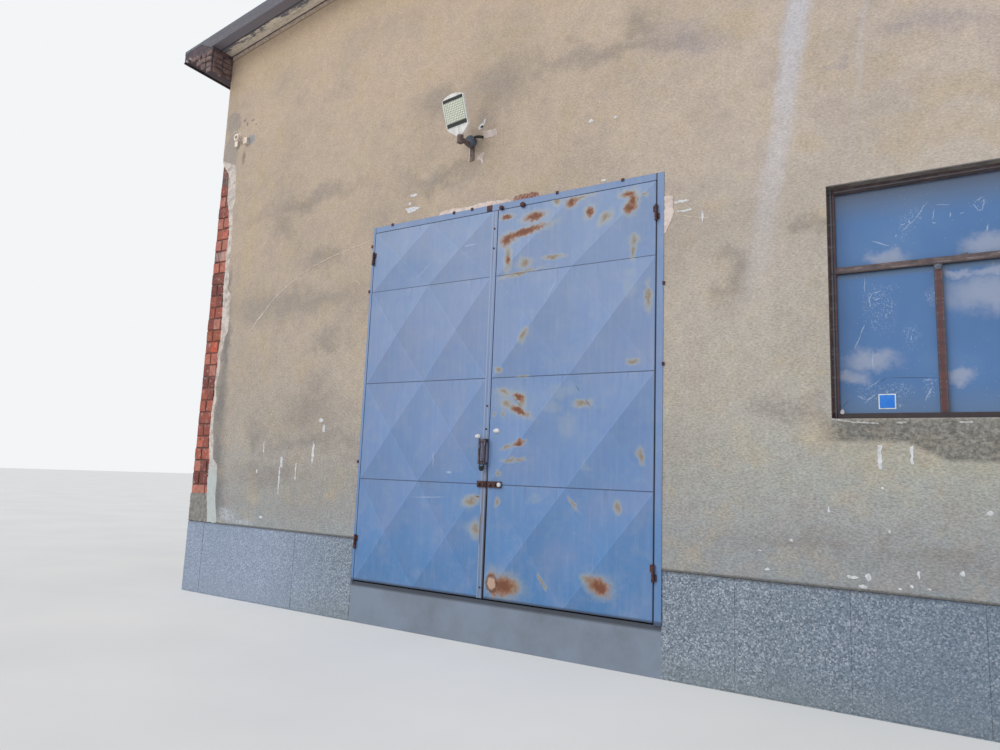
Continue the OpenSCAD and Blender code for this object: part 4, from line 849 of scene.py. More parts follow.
# %% Window glass
def dusty_glass_with_painted_sky():
    finish, place, apart = new_finish("dusty_drawn_glass_painted_sky")
    # The pane's blue is a painted reflection of the sky.
    tone = add("TexNoise", {"Scale": 1.3, "Detail": 3.0}, {0: place})
    pane = add("ValToRGB", links={0: tone}, stops=[(0.3, "#4b74a8"), (0.5, "#527bb0"), (0.7, "#6187b6")])
    # The pale clouds are painted reflections of clouds in the glass.
    dust_and_cloud_reflection = marked(CLOUD_REFLECTIONS, 0.1, 0.12, 0.3, 1.4, 0.85)
    fine = add("TexNoise", {"Scale": 1 / 0.012, "Detail": 5.0, "Roughness": 0.75}, {0: place})
    flecks = add("MapRange", {"From Min": 0.54, "From Max": 0.66}, {0: fine})
    smeared = marked(SMEARS, 0.06, 0.06, 0.5, 1.4, 0.75)
    smeared = both_masks(smeared, flecks)
    specks = add("TexVoronoi", {"Scale": 1 / 0.024}, {0: place})
    chosen = add("SeparateXYZ", links={0: (specks, "Color")})
    chosen = add("Math", {1: 0.66}, {0: (chosen, "X")}, operation="GREATER_THAN")
    spots = both_masks(chosen, step_down((specks, "Distance"), 0.05, 0.15, 0.5))
    front = step_down((apart, "Y"), *WINDOW_FRONT)
    dull = both_masks(front, add("MapRange", {"From Min": 3.52, "From Max": 3.75, "To Max": 0.8},
                                 {0: (apart, "Z")}))
    under_bar = both_masks(front, near_level((apart, "Z"), 3.125, 0.01, 0.05, 0.4))
    low = both_masks(front, step_down((apart, "Z"), 2.08, 2.32, 0.45))
    lines = marked(SCRATCHES, 0.012, 0.04, 0.5, 1.3, 0.6)
    cracks = marked(CRACKS, 0.004, 0.04, 0.5, 1.2, 0.75)
    pane = stained(pane, (dust_and_cloud_reflection, "#9ba6be"), (under_bar, "#74807f"), (dull, "#6a7688"), (low, "#6f87a3"),
                   (spots, "#b4c4dc"), (smeared, "#b5c4da"), (lines, "#bccbe2"), (cracks, "#23344f"))
    smear = add("TexNoise", {"Scale": 14.0, "Detail": 5.0}, {0: place})
    rough = add("MapRange", {"To Min": 0.03, "To Max": 0.16}, {0: smear})
    shader = add("BsdfPrincipled", {"IOR": 1.5, "Transmission Weight": 0.12},
                 {"Base Color": pane, "Roughness": rough})
    add("OutputMaterial", links={0: shader})
    return finish


dress(dusty_glass_with_painted_sky(), "window_glass")

# %% [markdown]
# The lamp's shell is die-cast aluminium with a white powder coat, grimy in soft clouds. Small light
# diodes under clear domes look pale yellow-green on their grey-green plate when they are off. The cable
# holder by the corner is yellowed plastic. One function makes these plain coats: a clean and a grimy colour
# in clouds of a given size, and a stain below a level where one is given.

# %% Lamp shell, lens and small coats
def plain_coat(name, clean, grimy, size, rough, bump_height, low=None, **sockets):
    finish, place, apart = new_finish(name)
    grime_and_shade = add("TexNoise", {"Scale": 1 / size, "Detail": 6.0, "Roughness": 0.65}, {0: place})
    tone = add("ValToRGB", links={0: grime_and_shade}, stops=[(0.42, clean), (0.68, grimy)])
    if low:
        tone = stained(tone, (step_down((apart, "Z"), low[0], low[0] + 0.4, 0.8), low[1]))
    roughness = add("MapRange", {"To Min": rough - 0.1, "To Max": rough + 0.15}, {0: grime_and_shade})
    return surfaced(finish, tone, grime_and_shade, 0.3, bump_height, roughness, **sockets)


powder_coat = plain_coat("white_powder_coat", "#efeeeb", "#cfccc4", 0.05, 0.4, 0.0005)
led_domes_plastic = plain_coat("clear_diode_domes", "#fdfdf4", "#eaecd4", 0.02, 0.25, 0.0005,
                               **{"Coat Weight": 0.5})
led_plate = plain_coat("grey_green_diode_plate", "#c3cab8", "#a4ac98", 0.01, 0.45, 0.0005)
black_rubber = plain_coat("black_seal_rubber", "#1d1f20", "#35342f", 0.02, 0.6, 0.0005)
aged_plastic = plain_coat("yellowed_fitting_plastic", "#e2d6c6", "#b6a593", 0.03, 0.5, 0.001)
white_plastic = plain_coat("white_box_plastic", "#e3e8ea", "#c3cbd0", 0.03, 0.45, 0.001)
joint_paint = plain_coat("blue_grey_joint_paint", "#5a6777", "#3a4149", 0.03, 0.5, 0.001)
lime_plaster = plain_coat("broken_lime_plaster", "#d9cac3", "#bcaca4", 0.06, 0.85, 0.004)
verge_mortar = plain_coat("verge_lime_mortar", "#c8b5a6", "#a08c7d", 0.05, 0.9, 0.004)
brick_bits = plain_coat("chipped_brick_edge", "#7c4a40", "#b09a8d", 0.018, 0.9, 0.004)
sooty_bits = plain_coat("sooty_broken_brick", "#8a726c", "#453d42", 0.06, 0.9, 0.006)
white_paint = plain_coat("white_paint_dab", "#d6d8db", "#b4b6b8", 0.03, 0.7, 0.001)
undercoat = plain_coat("pale_lime_undercoat", "#d3cac2", "#a1958c", 0.07, 0.9, 0.006, low=(1.35, "#b2bebf"))
corner_concrete = plain_coat("grey_corner_concrete", "#8d8a86", "#67655f", 0.05, 0.9, 0.006)
scraped_coat = plain_coat("scraped_lime_coat", "#c9bdb0", "#ad9f91", 0.03, 0.9, 0.002)
bedding = plain_coat("washed_bedding_mortar", "#bcbcba", "#8d8b88", 0.015, 0.9, 0.002)
label_film = plain_coat("blue_label_film", "#1273d6", "#2f80d6", 0.05, 0.35, 0.0002)
dress(powder_coat, "lamp_head")
dress(led_plate, "lamp_panel")
dress(aged_plastic, "corner_fittings")

# %% [markdown]
# New pieces are modelled one by one from here on. Helpers keep that short: one clears the selection, one
# joins parts, and one settles a finished piece, which means that its place goes into its mesh, it gets its
# finish, and it rides on a body of the hall.

# %% Modelling helpers
def clear_choice():
    if bpy.context.object and bpy.context.object.mode != "OBJECT":
        bpy.ops.object.mode_set(mode="OBJECT")
    bpy.ops.object.select_all(action="DESELECT")


def take(piece):
    clear_choice()
    piece.select_set(True)
    bpy.context.view_layer.objects.active = piece


def edit_all():
    bpy.ops.object.mode_set(mode="EDIT")
    bpy.ops.mesh.select_all(action="SELECT")


def joined(name, parts):
    clear_choice()
    for part in parts:
        part.select_set(True)
    bpy.context.view_layer.objects.active = parts[0]
    if len(parts) > 1:
        bpy.ops.object.join()
    parts[0].name = name
    return parts[0]


def copied(model, shift):
    twin = model.copy()
    twin.data = model.data.copy()
    twin.location = model.location + Vector(shift)
    bpy.context.scene.collection.objects.link(twin)
    return twin


def settle(piece, finish, body="hall"):
    take(piece)
    bpy.ops.object.transform_apply(location=True, rotation=True, scale=True)
    piece.data.materials.clear()
    piece.data.materials.append(finish)
    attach(piece, body)
    low = [round(min(v.co[i] for v in piece.data.vertices), 3) for i in range(3)]
    print(piece.name, "faces", len(piece.data.polygons), "lowest corner", low)
    return piece


def bevelled_block(name, low, high, bevel, segments=2):
    clear_choice()
    middle = [(a + b) / 2 for a, b in zip(low, high)]
    bpy.ops.mesh.primitive_cube_add(size=1, location=middle, scale=[b - a for a, b in zip(low, high)])
    block = bpy.context.object
    block.name = name
    bpy.ops.object.transform_apply(location=False, rotation=False, scale=True)
    edit_all()
    bpy.ops.mesh.bevel(offset=bevel, segments=segments, affect="EDGES")
    bpy.ops.object.mode_set(mode="OBJECT")
    return block


def roughened(block, offset, seed):
    take(block)
    edit_all()
    bpy.ops.mesh.subdivide(number_cuts=1)
    bpy.ops.transform.vertex_random(offset=offset, seed=seed)
    bpy.ops.object.mode_set(mode="OBJECT")
    return block


def bolt_head(name, place, radius, height, sides=12):
    """A round head that stands out of a wall towards -Y, with a smaller flat on its front."""
    clear_choice()
    bpy.ops.mesh.primitive_cylinder_add(vertices=sides, radius=radius, depth=height,
                                        rotation=(math.pi / 2, 0, 0),
                                        location=(place[0], place[1] - height / 2, place[2]))
    head = bpy.context.object
    head.name = name
    bpy.ops.object.transform_apply(location=False, rotation=True, scale=True)
    bpy.ops.object.mode_set(mode="EDIT")
    bpy.ops.mesh.select_all(action="DESELECT")
    bpy.ops.object.mode_set(mode="OBJECT")
    for face in head.data.polygons:
        face.select = face.normal.y < -0.9
    bpy.ops.object.mode_set(mode="EDIT")
    bpy.ops.mesh.inset(thickness=radius * 0.35)
    bpy.ops.transform.translate(value=(0, -height * 0.4, 0))
    bpy.ops.object.mode_set(mode="OBJECT")
    return head


def torn_patch(name, outline, face, thick, fray, seed):
    """A flat ragged patch in front of a wall: its rim runs through (x, z) points in small seeded steps."""
    chance = random.Random(seed)
    rim = []
    for (x0, z0), (x1, z1) in zip(outline, outline[1:] + outline[:1]):
        steps = max(1, round(math.dist((x0, z0), (x1, z1)) / (3 * fray)))
        rim += [(x0 + (x1 - x0) * i / steps + chance.uniform(-fray, fray),
                 z0 + (z1 - z0) * i / steps + chance.uniform(-fray, fray)) for i in range(steps)]
    clear_choice()
    bpy.ops.mesh.primitive_circle_add(vertices=len(rim), radius=1, fill_type="NGON")
    patch = bpy.context.object
    patch.name = name
    for vertex, (x, z) in zip(patch.data.vertices, rim):
        vertex.co = (x, face, z)
    edit_all()
    bpy.ops.mesh.extrude_region_move(TRANSFORM_OT_translate={"value": (0, -thick, 0)})
    bpy.ops.mesh.select_all(action="SELECT")
    bpy.ops.mesh.quads_convert_to_tris(ngon_method="BEAUTY")
    bpy.ops.mesh.normals_make_consistent(inside=False)
    bpy.ops.object.mode_set(mode="OBJECT")
    return patch


WALL_FACE, BRICK_FACE = -8.0, -7.98
print("helpers ready; the render is", round((BRICK_FACE - WALL_FACE) * 1000), "mm thick")

# %% [markdown]
# At the left corner the render has come off and shows the wall: hollow clay blocks in courses of 150 mm.
# One block is modelled with softened arrises and a slightly uneven face, and is then copied with its own
# mesh. Every second course starts with a half block, as a mason bonds a corner. The brick pattern below has
# the same pitch, so it gives each block a tone of its own.

# %% Finish of the clay blocks
COURSE_LOW, COURSE, COURSES, BLOCK, CORNER_X = 0.84, 0.15, 29, 0.26, -6.446


def clay_block_finish():
    finish, place, _ = new_finish("fired_clay_blocks")
    start = add("VectorMath", {1: (CORNER_X - 0.005, 0, COURSE_LOW - 0.006)}, {0: place},
                operation="SUBTRACT")
    apart = add("SeparateXYZ", links={0: start})
    flat = add("CombineXYZ", links={"X": (apart, "X"), "Y": (apart, "Z")})
    tones = add("TexBrick", {"Scale": 1.0, "Mortar Size": 0.0, "Brick Width": BLOCK, "Row Height": COURSE,
                             "Color1": (0, 0, 0, 1), "Color2": (1, 1, 1, 1)}, {0: flat}, offset=0.5)
    clay = add("ValToRGB", links={0: (tones, "Color")},
               stops=[(0.0, "#74403a"), (0.3, "#925044"), (0.5, "#a85a49"), (0.7, "#b87b6c"),
                      (0.86, "#c2583c"), (1.0, "#a58b80")])
    clay = stained(clay, (near_level((apart, "Z"), 2.325, 0.06, 0.08, 0.7), "#ab5f44"),
                   (near_level((apart, "Z"), 0.525, 0.06, 0.08, 0.6), "#6e3a35"))
    noise = add("TexNoise", {"Scale": 16.0, "Detail": 6.0, "Roughness": 0.7}, {0: place})
    smear = add("MapRange", {"From Min": 0.56, "From Max": 0.66, "To Max": 0.8}, {0: noise})
    dark = add("MapRange", {"From Min": 0.46, "From Max": 0.33, "To Max": 0.7}, {0: noise})
    # One course broke through its hollows, whose thin webs show as pale upright bars.
    bars = add("TexWave", {"Scale": 0.314 / 0.03, "Distortion": 1.5, "Detail": 2.0}, {0: place},
               bands_direction="X")
    bars = add("MapRange", {"From Min": 0.6, "From Max": 0.8}, {0: (bars, "Fac")})
    bars = both_masks(bars, near_level((apart, "Z"), 3.375, 0.045, 0.065, 0.8))
    clay = stained(clay, (smear, "#b3a79e"), (dark, "#54393a"), (bars, "#c9c2bb"))
    combed = add("TexWave", {"Scale": 1 / 0.02, "Distortion": 1.0}, {0: place}, bands_direction="Z")
    relief = add("Math", {1: 0.4}, {0: (combed, "Fac"), 2: noise}, operation="MULTIPLY_ADD")
    return surfaced(finish, clay, relief, 0.6, 0.005, 0.9)


clay_blocks = clay_block_finish()


# %% Block work at the torn corner
def clay_block(name, length):
    block = bevelled_block(name, (0, -0.014, 0), (length, 0.02, COURSE - 0.014), 0.006)
    return roughened(block, 0.0025, 7)


def block_work():
    whole, half = clay_block("whole_block", BLOCK - 0.012), clay_block("half_block", BLOCK / 2 - 0.012)
    laid, chance = [], random.Random(12)
    for course in range(COURSES):
        x = CORNER_X
        for model in (whole, whole) if course % 2 == 0 else (half, whole, half):
            block = copied(model, (x, BRICK_FACE + chance.uniform(0.0, 0.006), COURSE_LOW + COURSE * course))
            block.rotation_euler = (chance.uniform(-0.02, 0.02), chance.uniform(-0.02, 0.02), 0.0)
            block.scale = (chance.uniform(0.93, 1.0), 1.0, chance.uniform(0.94, 1.0))
            laid.append(block)
            x += BLOCK if model is whole else BLOCK / 2
    for model in (whole, half):
        bpy.data.objects.remove(model)
    return joined("corner_block_work", laid)


settle(block_work(), clay_blocks)

# %% [markdown]
# Between the blocks and the render runs a pale band of undercoat that stayed on the wall when the top coat
# fell. It is a ragged flat patch that follows the render's broken edge and stands 4 mm behind its face. At
# the foot the blocks end, and grey concrete shows left of the band.

# %% Undercoat along the broken edge, as distance from the corner, height over the floor and band width
CORNER, FLOOR = -6.45, 0.4
TORN = [(0.0, 5.15, 0.0), (0.09, 5.11, 0.09), (0.19, 5.07, 0.17), (0.28, 5.01, 0.2), (0.298, 4.93, 0.16),
        (0.302, 4.83, 0.15), (0.316, 4.63, 0.153), (0.333, 4.55, 0.167), (0.299, 4.44, 0.092),
        (0.314, 4.29, 0.082), (0.333, 4.1, 0.071), (0.34, 3.81, 0.09), (0.326, 3.62, 0.07),
        (0.362, 3.47, 0.106), (0.342, 3.36, 0.087), (0.432, 3.255, 0.167), (0.413, 3.145, 0.138),
        (0.44, 2.96, 0.153), (0.43, 2.795, 0.133), (0.384, 2.725, 0.085), (0.363, 2.59, 0.081),
        (0.326, 2.51, 0.061), (0.348, 2.36, 0.058), (0.332, 2.225, 0.065), (0.302, 2.145, 0.04),
        (0.317, 2.0, 0.036), (0.339, 1.945, 0.066), (0.312, 1.84, 0.052), (0.319, 1.57, 0.06),
        (0.355, 1.425, 0.094), (0.374, 1.205, 0.07), (0.464, 1.135, 0.159), (0.486, 0.95, 0.182),
        (0.485, 0.775, 0.168), (0.516, 0.605, 0.165), (0.54, 0.52, 0.174), (0.545, 0.44, 0.18)]


def along_edge(inner, outer, name, thick, seed):
    """A patch between two distances from the corner at each of the torn edge's heights."""
    rim = [(CORNER + x, FLOOR + z) for x, z in inner + outer[::-1]]
    return torn_patch(name, rim, BRICK_FACE, thick, 0.006, seed)


band = along_edge([(x + 0.03, z) for x, z, wide in TORN], [(x - wide, z) for x, z, wide in TORN],
                  "torn_undercoat", 0.016, 3)
settle(band, undercoat)
low = [(x - wide + 0.02, z) for x, z, wide in TORN if z < 0.8]
foot = along_edge(low, [(0.006, z) for x, z in low], "corner_concrete_foot", 0.0155, 4)
settle(foot, corner_concrete)

# %% [markdown]
# The verge's soffit board meets the wall in a fillet of yellowish mortar, about 45 mm tall. It follows the
# roof's slope on both sides of the ridge.

# %% Mortar fillet under the verge
FILLET_TOP, FILLET_FOOT, FILLET_THICK, FILLET_STEPS = 0.004, 0.05, 0.010, 40


def soffit(x):
    """Height of the roof's underside over a point x of the gable."""
    return EAVES_UNDERSIDE + (HALF_WIDTH - abs(x)) * SLOPE


def mortar_fillet(x0, x1, seed):
    steps = [x0 + (x1 - x0) * i / FILLET_STEPS for i in range(FILLET_STEPS + 1)]
    upper = [(x, soffit(x) - FILLET_TOP) for x in steps]
    lower = [(x, soffit(x) - FILLET_FOOT) for x in reversed(steps)]
    return torn_patch("fillet", upper + lower, WALL_FACE, FILLET_THICK, 0.005, seed)


fillets = [mortar_fillet(-6.44, 0.0, 5), mortar_fillet(0.0, 6.44, 6)]
settle(joined("verge_mortar_fillet", fillets), verge_mortar)

# %% [markdown]
# The ends of the stepped cornice stick out beside the gable, and frost has broken their bricks. Each course
# gets headers of its own that stand out by different amounts and lean a little, on the front and on the
# side towards the gable. A few bits of lime are left between them. All four corners repeat the same bricks,
# less proud at the back, where the verge is no deeper.

# %% Broken bricks on the cornice ends
CORNICE_FOOT, CORNICE_COURSE, CORNICE_STEP, CORNICE_FRONT = 6.67, 0.075, 0.11, 8.317


def broken_brick(low, high, lean, seed):
    """A worn brick between two corners, leaning a little about its middle."""
    block = bevelled_block("brick", [min(a, b) for a, b in zip(low, high)],
                           [max(a, b) for a, b in zip(low, high)], 0.009, 1)
    block.rotation_euler = lean
    return roughened(block, 0.005, seed)


def cornice_end(side, end):
    """Bricks and lime bits on the cornice end at one corner; side and end are -1 or 1."""
    chance, bricks = random.Random(31), []
    for course in range(4):
        foot = CORNICE_FOOT + CORNICE_COURSE * course
        for step in range(course + 1):
            out, inset = chance.uniform(0.004, 0.024), HALF_WIDTH + CORNICE_STEP * step
            out = out if end < 0 else out * 0.2 - 0.01
            lean = (chance.uniform(-0.06, 0.06), chance.uniform(-0.12, 0.12), 0.0)
            low = (side * (inset + 0.004), end * (CORNICE_FRONT - 0.05), foot + 0.002)
            high = (side * (inset + 0.104), end * (CORNICE_FRONT + out), foot + 0.068)
            bricks.append(broken_brick(low, high, lean, chance.randrange(99)))
        for near in (0.005, 0.16):
            out = chance.uniform(0.004, 0.02)
            lean = (chance.uniform(-0.1, 0.1), chance.uniform(-0.05, 0.05), 0.0)
            low = (side * (HALF_WIDTH - out), end * (HALF_DEPTH + near), foot + 0.003)
            high = (side * (HALF_WIDTH + 0.05), end * (HALF_DEPTH + near + 0.14), foot + 0.07)
            bricks.append(broken_brick(low, high, lean, chance.randrange(99)))
    proud = 0.012 if end < 0 else -0.008
    bits = [broken_brick((side * (x - 0.02), end * (CORNICE_FRONT - 0.02), z - 0.01),
                         (side * (x + 0.02), end * (CORNICE_FRONT + proud), z + 0.012), (0.0, 0.5, 0.0), 5)
            for x, z in ((7.0, 6.962), (6.92, 6.974), (6.72, 6.9))]
    return bricks, bits


corners = [cornice_end(side, end) for side in (-1, 1) for end in (-1, 1)]
all_bricks, all_bits = sum([bricks for bricks, _ in corners], []), sum([bits for _, bits in corners], [])
settle(joined("broken_cornice_bricks", all_bricks), sooty_bits)
settle(joined("lime_bits_on_cornice", all_bits), lime_plaster)

# %% [markdown]
# Chips, dabs of old filler, white drips and a long scrape stand out pale on the render. Each is a thin
# ragged patch. The list gives the rim points of the odd ones, and the simple ones as a middle and half
# sizes. A drip has square ends, because it ran off the sill in a flat sheet.

# %% Chips, drips and scrapes on the render
def dab(x, z, half_x, half_z):
    turns = [2 * math.pi * k / 8 for k in range(8)]
    return [(x + half_x * math.cos(turn), z + half_z * math.sin(turn)) for turn in turns]


def scrape(points, width):
    upper = [(x, z + width / 2) for x, z in points]
    return upper + [(x, z - width / 2) for x, z in reversed(points)]


def drip_and_shade(x, top, foot, half):
    return [(x - half, top), (x + half, top), (x + half * 0.9, foot), (x - half * 0.8, foot + 0.008)]


CHIPS = [dab(-3.14, 4.465, 0.05, 0.014), dab(-3.19, 4.38, 0.022, 0.012), dab(-1.084, 4.818, 0.024, 0.02),
         dab(-0.837, 4.8, 0.02, 0.014), drip_and_shade(-5.168, 1.814, 1.686, 0.008), dab(-5.253, 1.47, 0.01, 0.025),
         drip_and_shade(-4.853, 1.646, 1.53, 0.017), drip_and_shade(-4.87, 1.53, 1.227, 0.009),
         drip_and_shade(-4.61, 1.583, 1.395, 0.009), dab(-5.118, 0.956, 0.028, 0.014), dab(-4.361, 1.7, 0.018, 0.125),
         dab(-4.27, 2.06, 0.04, 0.022), dab(-4.22, 1.97, 0.022, 0.045), dab(-0.22, 3.885, 0.07, 0.012),
         dab(-0.2, 3.8, 0.07, 0.01), dab(-0.045, 3.72, 0.01, 0.06), drip_and_shade(1.2, 1.836, 1.669, 0.013),
         drip_and_shade(1.395, 1.838, 1.708, 0.008), dab(1.005, 0.921, 0.038, 0.013), dab(1.105, 0.932, 0.02, 0.024),
         dab(1.067, 0.862, 0.03, 0.014), dab(0.604, 1.141, 0.016, 0.01), dab(0.434, 0.921, 0.022, 0.009),
         dab(1.658, 1.007, 0.016, 0.018), dab(1.407, 0.978, 0.007, 0.03), dab(1.295, 0.873, 0.01, 0.01),
         dab(1.361, 0.896, 0.009, 0.009), dab(1.467, 0.888, 0.01, 0.009), dab(-0.944, 4.215, 0.025, 0.012),
         [(-2.35, 5.05), (-2.33, 5.022), (-2.292, 5.025), (-2.272, 5.065), (-2.252, 5.123), (-2.268, 5.132),
          (-2.29, 5.085), (-2.325, 5.075)], dab(1.21, 1.54, 0.01, 0.01), dab(0.86, 1.38, 0.01, 0.022),
         dab(1.82, 1.41, 0.02, 0.015), dab(1.24, 1.25, 0.01, 0.01), dab(0.38, 1.05, 0.014, 0.006),
         [(-3.245, 4.33), (-3.2, 4.27), (-3.1, 4.29), (-3.035, 4.315), (-3.09, 4.33), (-3.16, 4.335)],
         dab(-2.3, 5.045, 0.02, 0.014)]
SCRAPES = [[(-6.30, 5.88), (-6.308, 5.90), (-6.243, 5.918), (-6.15, 5.895), (-6.076, 5.83), (-6.09, 5.818),
            (-6.16, 5.882), (-6.243, 5.903)],
         scrape([(-3.74, 4.04), (-4.02, 3.99), (-4.31, 3.935), (-4.56, 3.865), (-4.78, 3.785)], 0.012),
         scrape([(-4.78, 3.785), (-5.0, 3.67), (-5.19, 3.553), (-5.38, 3.38)], 0.018),
         scrape([(-5.38, 3.38), (-5.50, 3.265), (-5.602, 3.150)], 0.034),
         scrape([(-3.93, 3.58), (-3.90, 3.61), (-3.86, 3.59)], 0.012),
         scrape([(-3.86, 3.59), (-3.80, 3.50), (-3.76, 3.41)], 0.014),
         scrape([(-0.25, 3.77), (-0.05, 3.71), (0.10, 3.70)], 0.008)]
chips = [torn_patch("chip", rim, WALL_FACE, 0.0025, 0.006, 20 + number) for number, rim in enumerate(CHIPS)]
settle(joined("render_chips", chips), white_paint)
marks = [torn_patch("scrape", rim, WALL_FACE, 0.002, 0.004, 80 + number)
         for number, rim in enumerate(SCRAPES)]
settle(joined("render_scrapes", marks), scraped_coat)
print(len(CHIPS), "chips and drips and", len(SCRAPES), "scrapes")

# %% Broken plaster and brick round the gate frame, behind the fittings and under the window
PLASTER = [(0.007, 61, [(-2.8, 4.178), (-2.76, 4.215), (-2.6, 4.225), (-2.4, 4.215), (-2.3, 4.23),
                        (-2.1, 4.22), (-1.95, 4.215), (-1.9, 4.178)]),
           (0.006, 62, [(-0.374, 3.96), (-0.3, 3.95), (-0.29, 3.8), (-0.33, 3.68), (-0.374, 3.62)]),
           (0.005, 63, [(-2.288, 4.993), (-2.119, 4.987), (-2.115, 4.911), (-2.274, 4.914)]),
           (0.005, 66, [(-2.345, 4.7), (-2.33, 4.735), (-2.3, 4.765), (-2.265, 4.77), (-2.25, 4.745),
                        (-2.275, 4.715), (-2.262, 4.67), (-2.275, 4.645), (-2.29, 4.68), (-2.31, 4.695)])]
plaster = [torn_patch("plaster", rim, WALL_FACE, 0.003, fray, seed) for fray, seed, rim in PLASTER]
settle(joined("broken_plaster", plaster), lime_plaster)
BEDS = [(0.89, 2.033, 1.05, 2.008), (1.05, 2.008, 1.2, 2.0), (1.31, 2.002, 1.37, 2.006),
        (1.68, 2.003, 1.76, 2.006), (2.2, 2.004, 2.33, 2.0), (2.9, 2.002, 3.02, 2.006),
        (3.4, 2.004, 3.5, 2.0)]


def bed(x0, z0, x1, z1):
    """A dab of bedding mortar along the sill, from one top corner to the other."""
    x, z = (x0 + x1) / 2, (z0 + z1) / 2
    rim = [(x0, z0), (x, z + 0.002), (x1, z1), (x1, z1 - 0.010), (x, z - 0.009), (x0, z0 - 0.008)]
    return torn_patch("bedding", rim, WALL_FACE, 0.002, 0.003, 64)


settle(joined("window_bedding_mortar", [bed(*ends) for ends in BEDS]), bedding)
bits = [torn_patch("brick", [(-1.896, 4.178), (-1.88, 4.22), (-1.82, 4.235), (-1.74, 4.225), (-1.68, 4.235),
                             (-1.62, 4.215), (-1.60, 4.178)], WALL_FACE, 0.004, 0.007, 65)]
settle(joined("broken_brick_over_gates", bits), brick_bits)

# %% [markdown]
# At the right corner the coat of the gable goes on round the brick pier to the side wall. It is a thin
# skin of the same roughcast, 3 mm proud, with its edges rounded over as a float leaves them.

# %% Coat round the right corner
skin = bevelled_block("right_corner_coat", (6.44, -7.9985, 0.833), (6.453, -7.598, 6.668), 0.0025)
settle(skin, roughcast)

# %% [markdown]
# The plinth is faced with slabs of cement 790 mm long, and twice as long left of the gates, with thin open
# joints. Each slab is a bevelled block 4 mm proud of the plinth, so the joints are real gaps that the light
# finds. The window gets a small label, a dab of paint, a lump on the transom and the ring of an old hinge.

# %% Slabs on the front plinth
PLINTH_FACE, PLINTH_TOP, SLAB = -7.992, 0.831, 0.79
FIRST_JOINT, HALF_GAP, PROUD, SHORTEST = 0.195, 0.003, 0.004, 0.05


def plinth_slabs(x0, x1, slab):
    first = FIRST_JOINT + slab * math.ceil((x0 - FIRST_JOINT + 0.02) / slab)
    edges = [x0] + [first + slab * k for k in range(20) if first + slab * k < x1 - SHORTEST] + [x1]
    return [bevelled_block("slab", (a + HALF_GAP, PLINTH_FACE - PROUD, 0.012),
                           (b - HALF_GAP, PLINTH_FACE + PROUD, PLINTH_TOP - 0.004), 0.002, 1)
            for a, b in zip(edges, edges[1:])]


slabs = plinth_slabs(-6.446, -3.682, 2 * SLAB) + plinth_slabs(-0.368, 6.446, SLAB)
settle(joined("plinth_slabs", slabs), pebble_coat)
print(len(slabs), "slabs")

# %% Small things on the front window
GLASS_FACE, FRAME_FACE = -7.88, -7.91
ring = bolt_head("hinge_ring", (1.601, FRAME_FACE, 3.112), 0.021, 0.006, 20)
lump = bevelled_block("lump", (1.745, -7.908, 3.18), (1.783, -7.89, 3.197), 0.005)
settle(joined("old_hinge_and_lump", [ring, lump]), joint_paint)
border = bevelled_block("label_border", (1.195, GLASS_FACE - 0.0012, 2.108),
                        (1.306, GLASS_FACE + 0.0002, 2.217), 0.0005)
settle(border, white_plastic)
label = bevelled_block("blue_window_label", (1.202, GLASS_FACE - 0.0022, 2.115),
                       (1.299, GLASS_FACE - 0.001, 2.21), 0.0005)
settle(label, label_film)
spot = torn_patch("white_dab_on_window_foot", dab(0.959, 2.088, 0.016, 0.018), FRAME_FACE, 0.002, 0.003, 66)
settle(spot, white_paint)

# %% [markdown]
# The gates' own small parts are stubs of old bolts and lugs along the frame, a plate and two knobs on the
# head bar, heads of bolts down the cover strip and on the latch, and two dabs of white filler. Most are
# bevelled blocks and bolt heads, made in a loop where they repeat.

# %% Lugs, plate and knobs on the gate frame
HEAD_LUGS, HEAD_LUG_Z = (-1.355, -0.54, -0.316, 0.645, 1.30), 4.1775
JAMB_LUGS = ((-3.683, 3.46), (-3.683, 1.62), (-3.683, 3.97), (-0.372, 3.19), (-0.372, 2.5))


def lug(x, z, half_wide, half_tall):
    return bevelled_block("lug", (x - half_wide, GATE_FACE - 0.008, z - half_tall),
                          (x + half_wide, WALL_FACE, z + half_tall), 0.004)


lugs = [lug(SPLIT_X + x, HEAD_LUG_Z, 0.014, 0.0145) for x in HEAD_LUGS]
lugs += [lug(x, z, 0.011, 0.015) for x, z in JAMB_LUGS]
lugs.append(bevelled_block("plate", (-2.19, GATE_FACE - 0.006, 4.12), (-2.13, GATE_FACE, 4.18), 0.003))
lugs += [bolt_head("knob", (-2.015, GATE_FACE, 4.13), 0.022, 0.02),
         bolt_head("knob", (-1.775, GATE_FACE, 4.12), 0.026, 0.02)]
settle(joined("gate_frame_lugs", lugs), old_rust)

# %% Bolts on the cover strip, the latch and the right leaf
STRIP_FACE, LATCH_FACE, LATCH_Z = -8.007, -8.0193, 1.445


def row_of_bolts(name, places, face, radius, height, body):
    heads = [bolt_head("bolt", (x, face, z), radius, height) for x, z in places]
    return settle(joined(name, heads), old_rust, body)


row_of_bolts("cover_strip_bolts", [(-2.09, GATE_FOOT + z) for z in (3.53, 3.33, 1.78, 1.56, 0.11)],
             STRIP_FACE, 0.009, 0.006, "left_leaf")
row_of_bolts("left_latch_bosses", [(-2.14, LATCH_Z), (-2.09, LATCH_Z)], LATCH_FACE, 0.015, 0.01, "left_leaf")
row_of_bolts("right_latch_bosses", [(-2.02, LATCH_Z), (-1.965, LATCH_Z)], LATCH_FACE, 0.015, 0.01,
             "right_leaf")
painted_bolt = bolt_head("painted_latch_bolt", (-1.915, LATCH_FACE, LATCH_Z), 0.02, 0.012)
settle(painted_bolt, white_paint, "right_leaf")


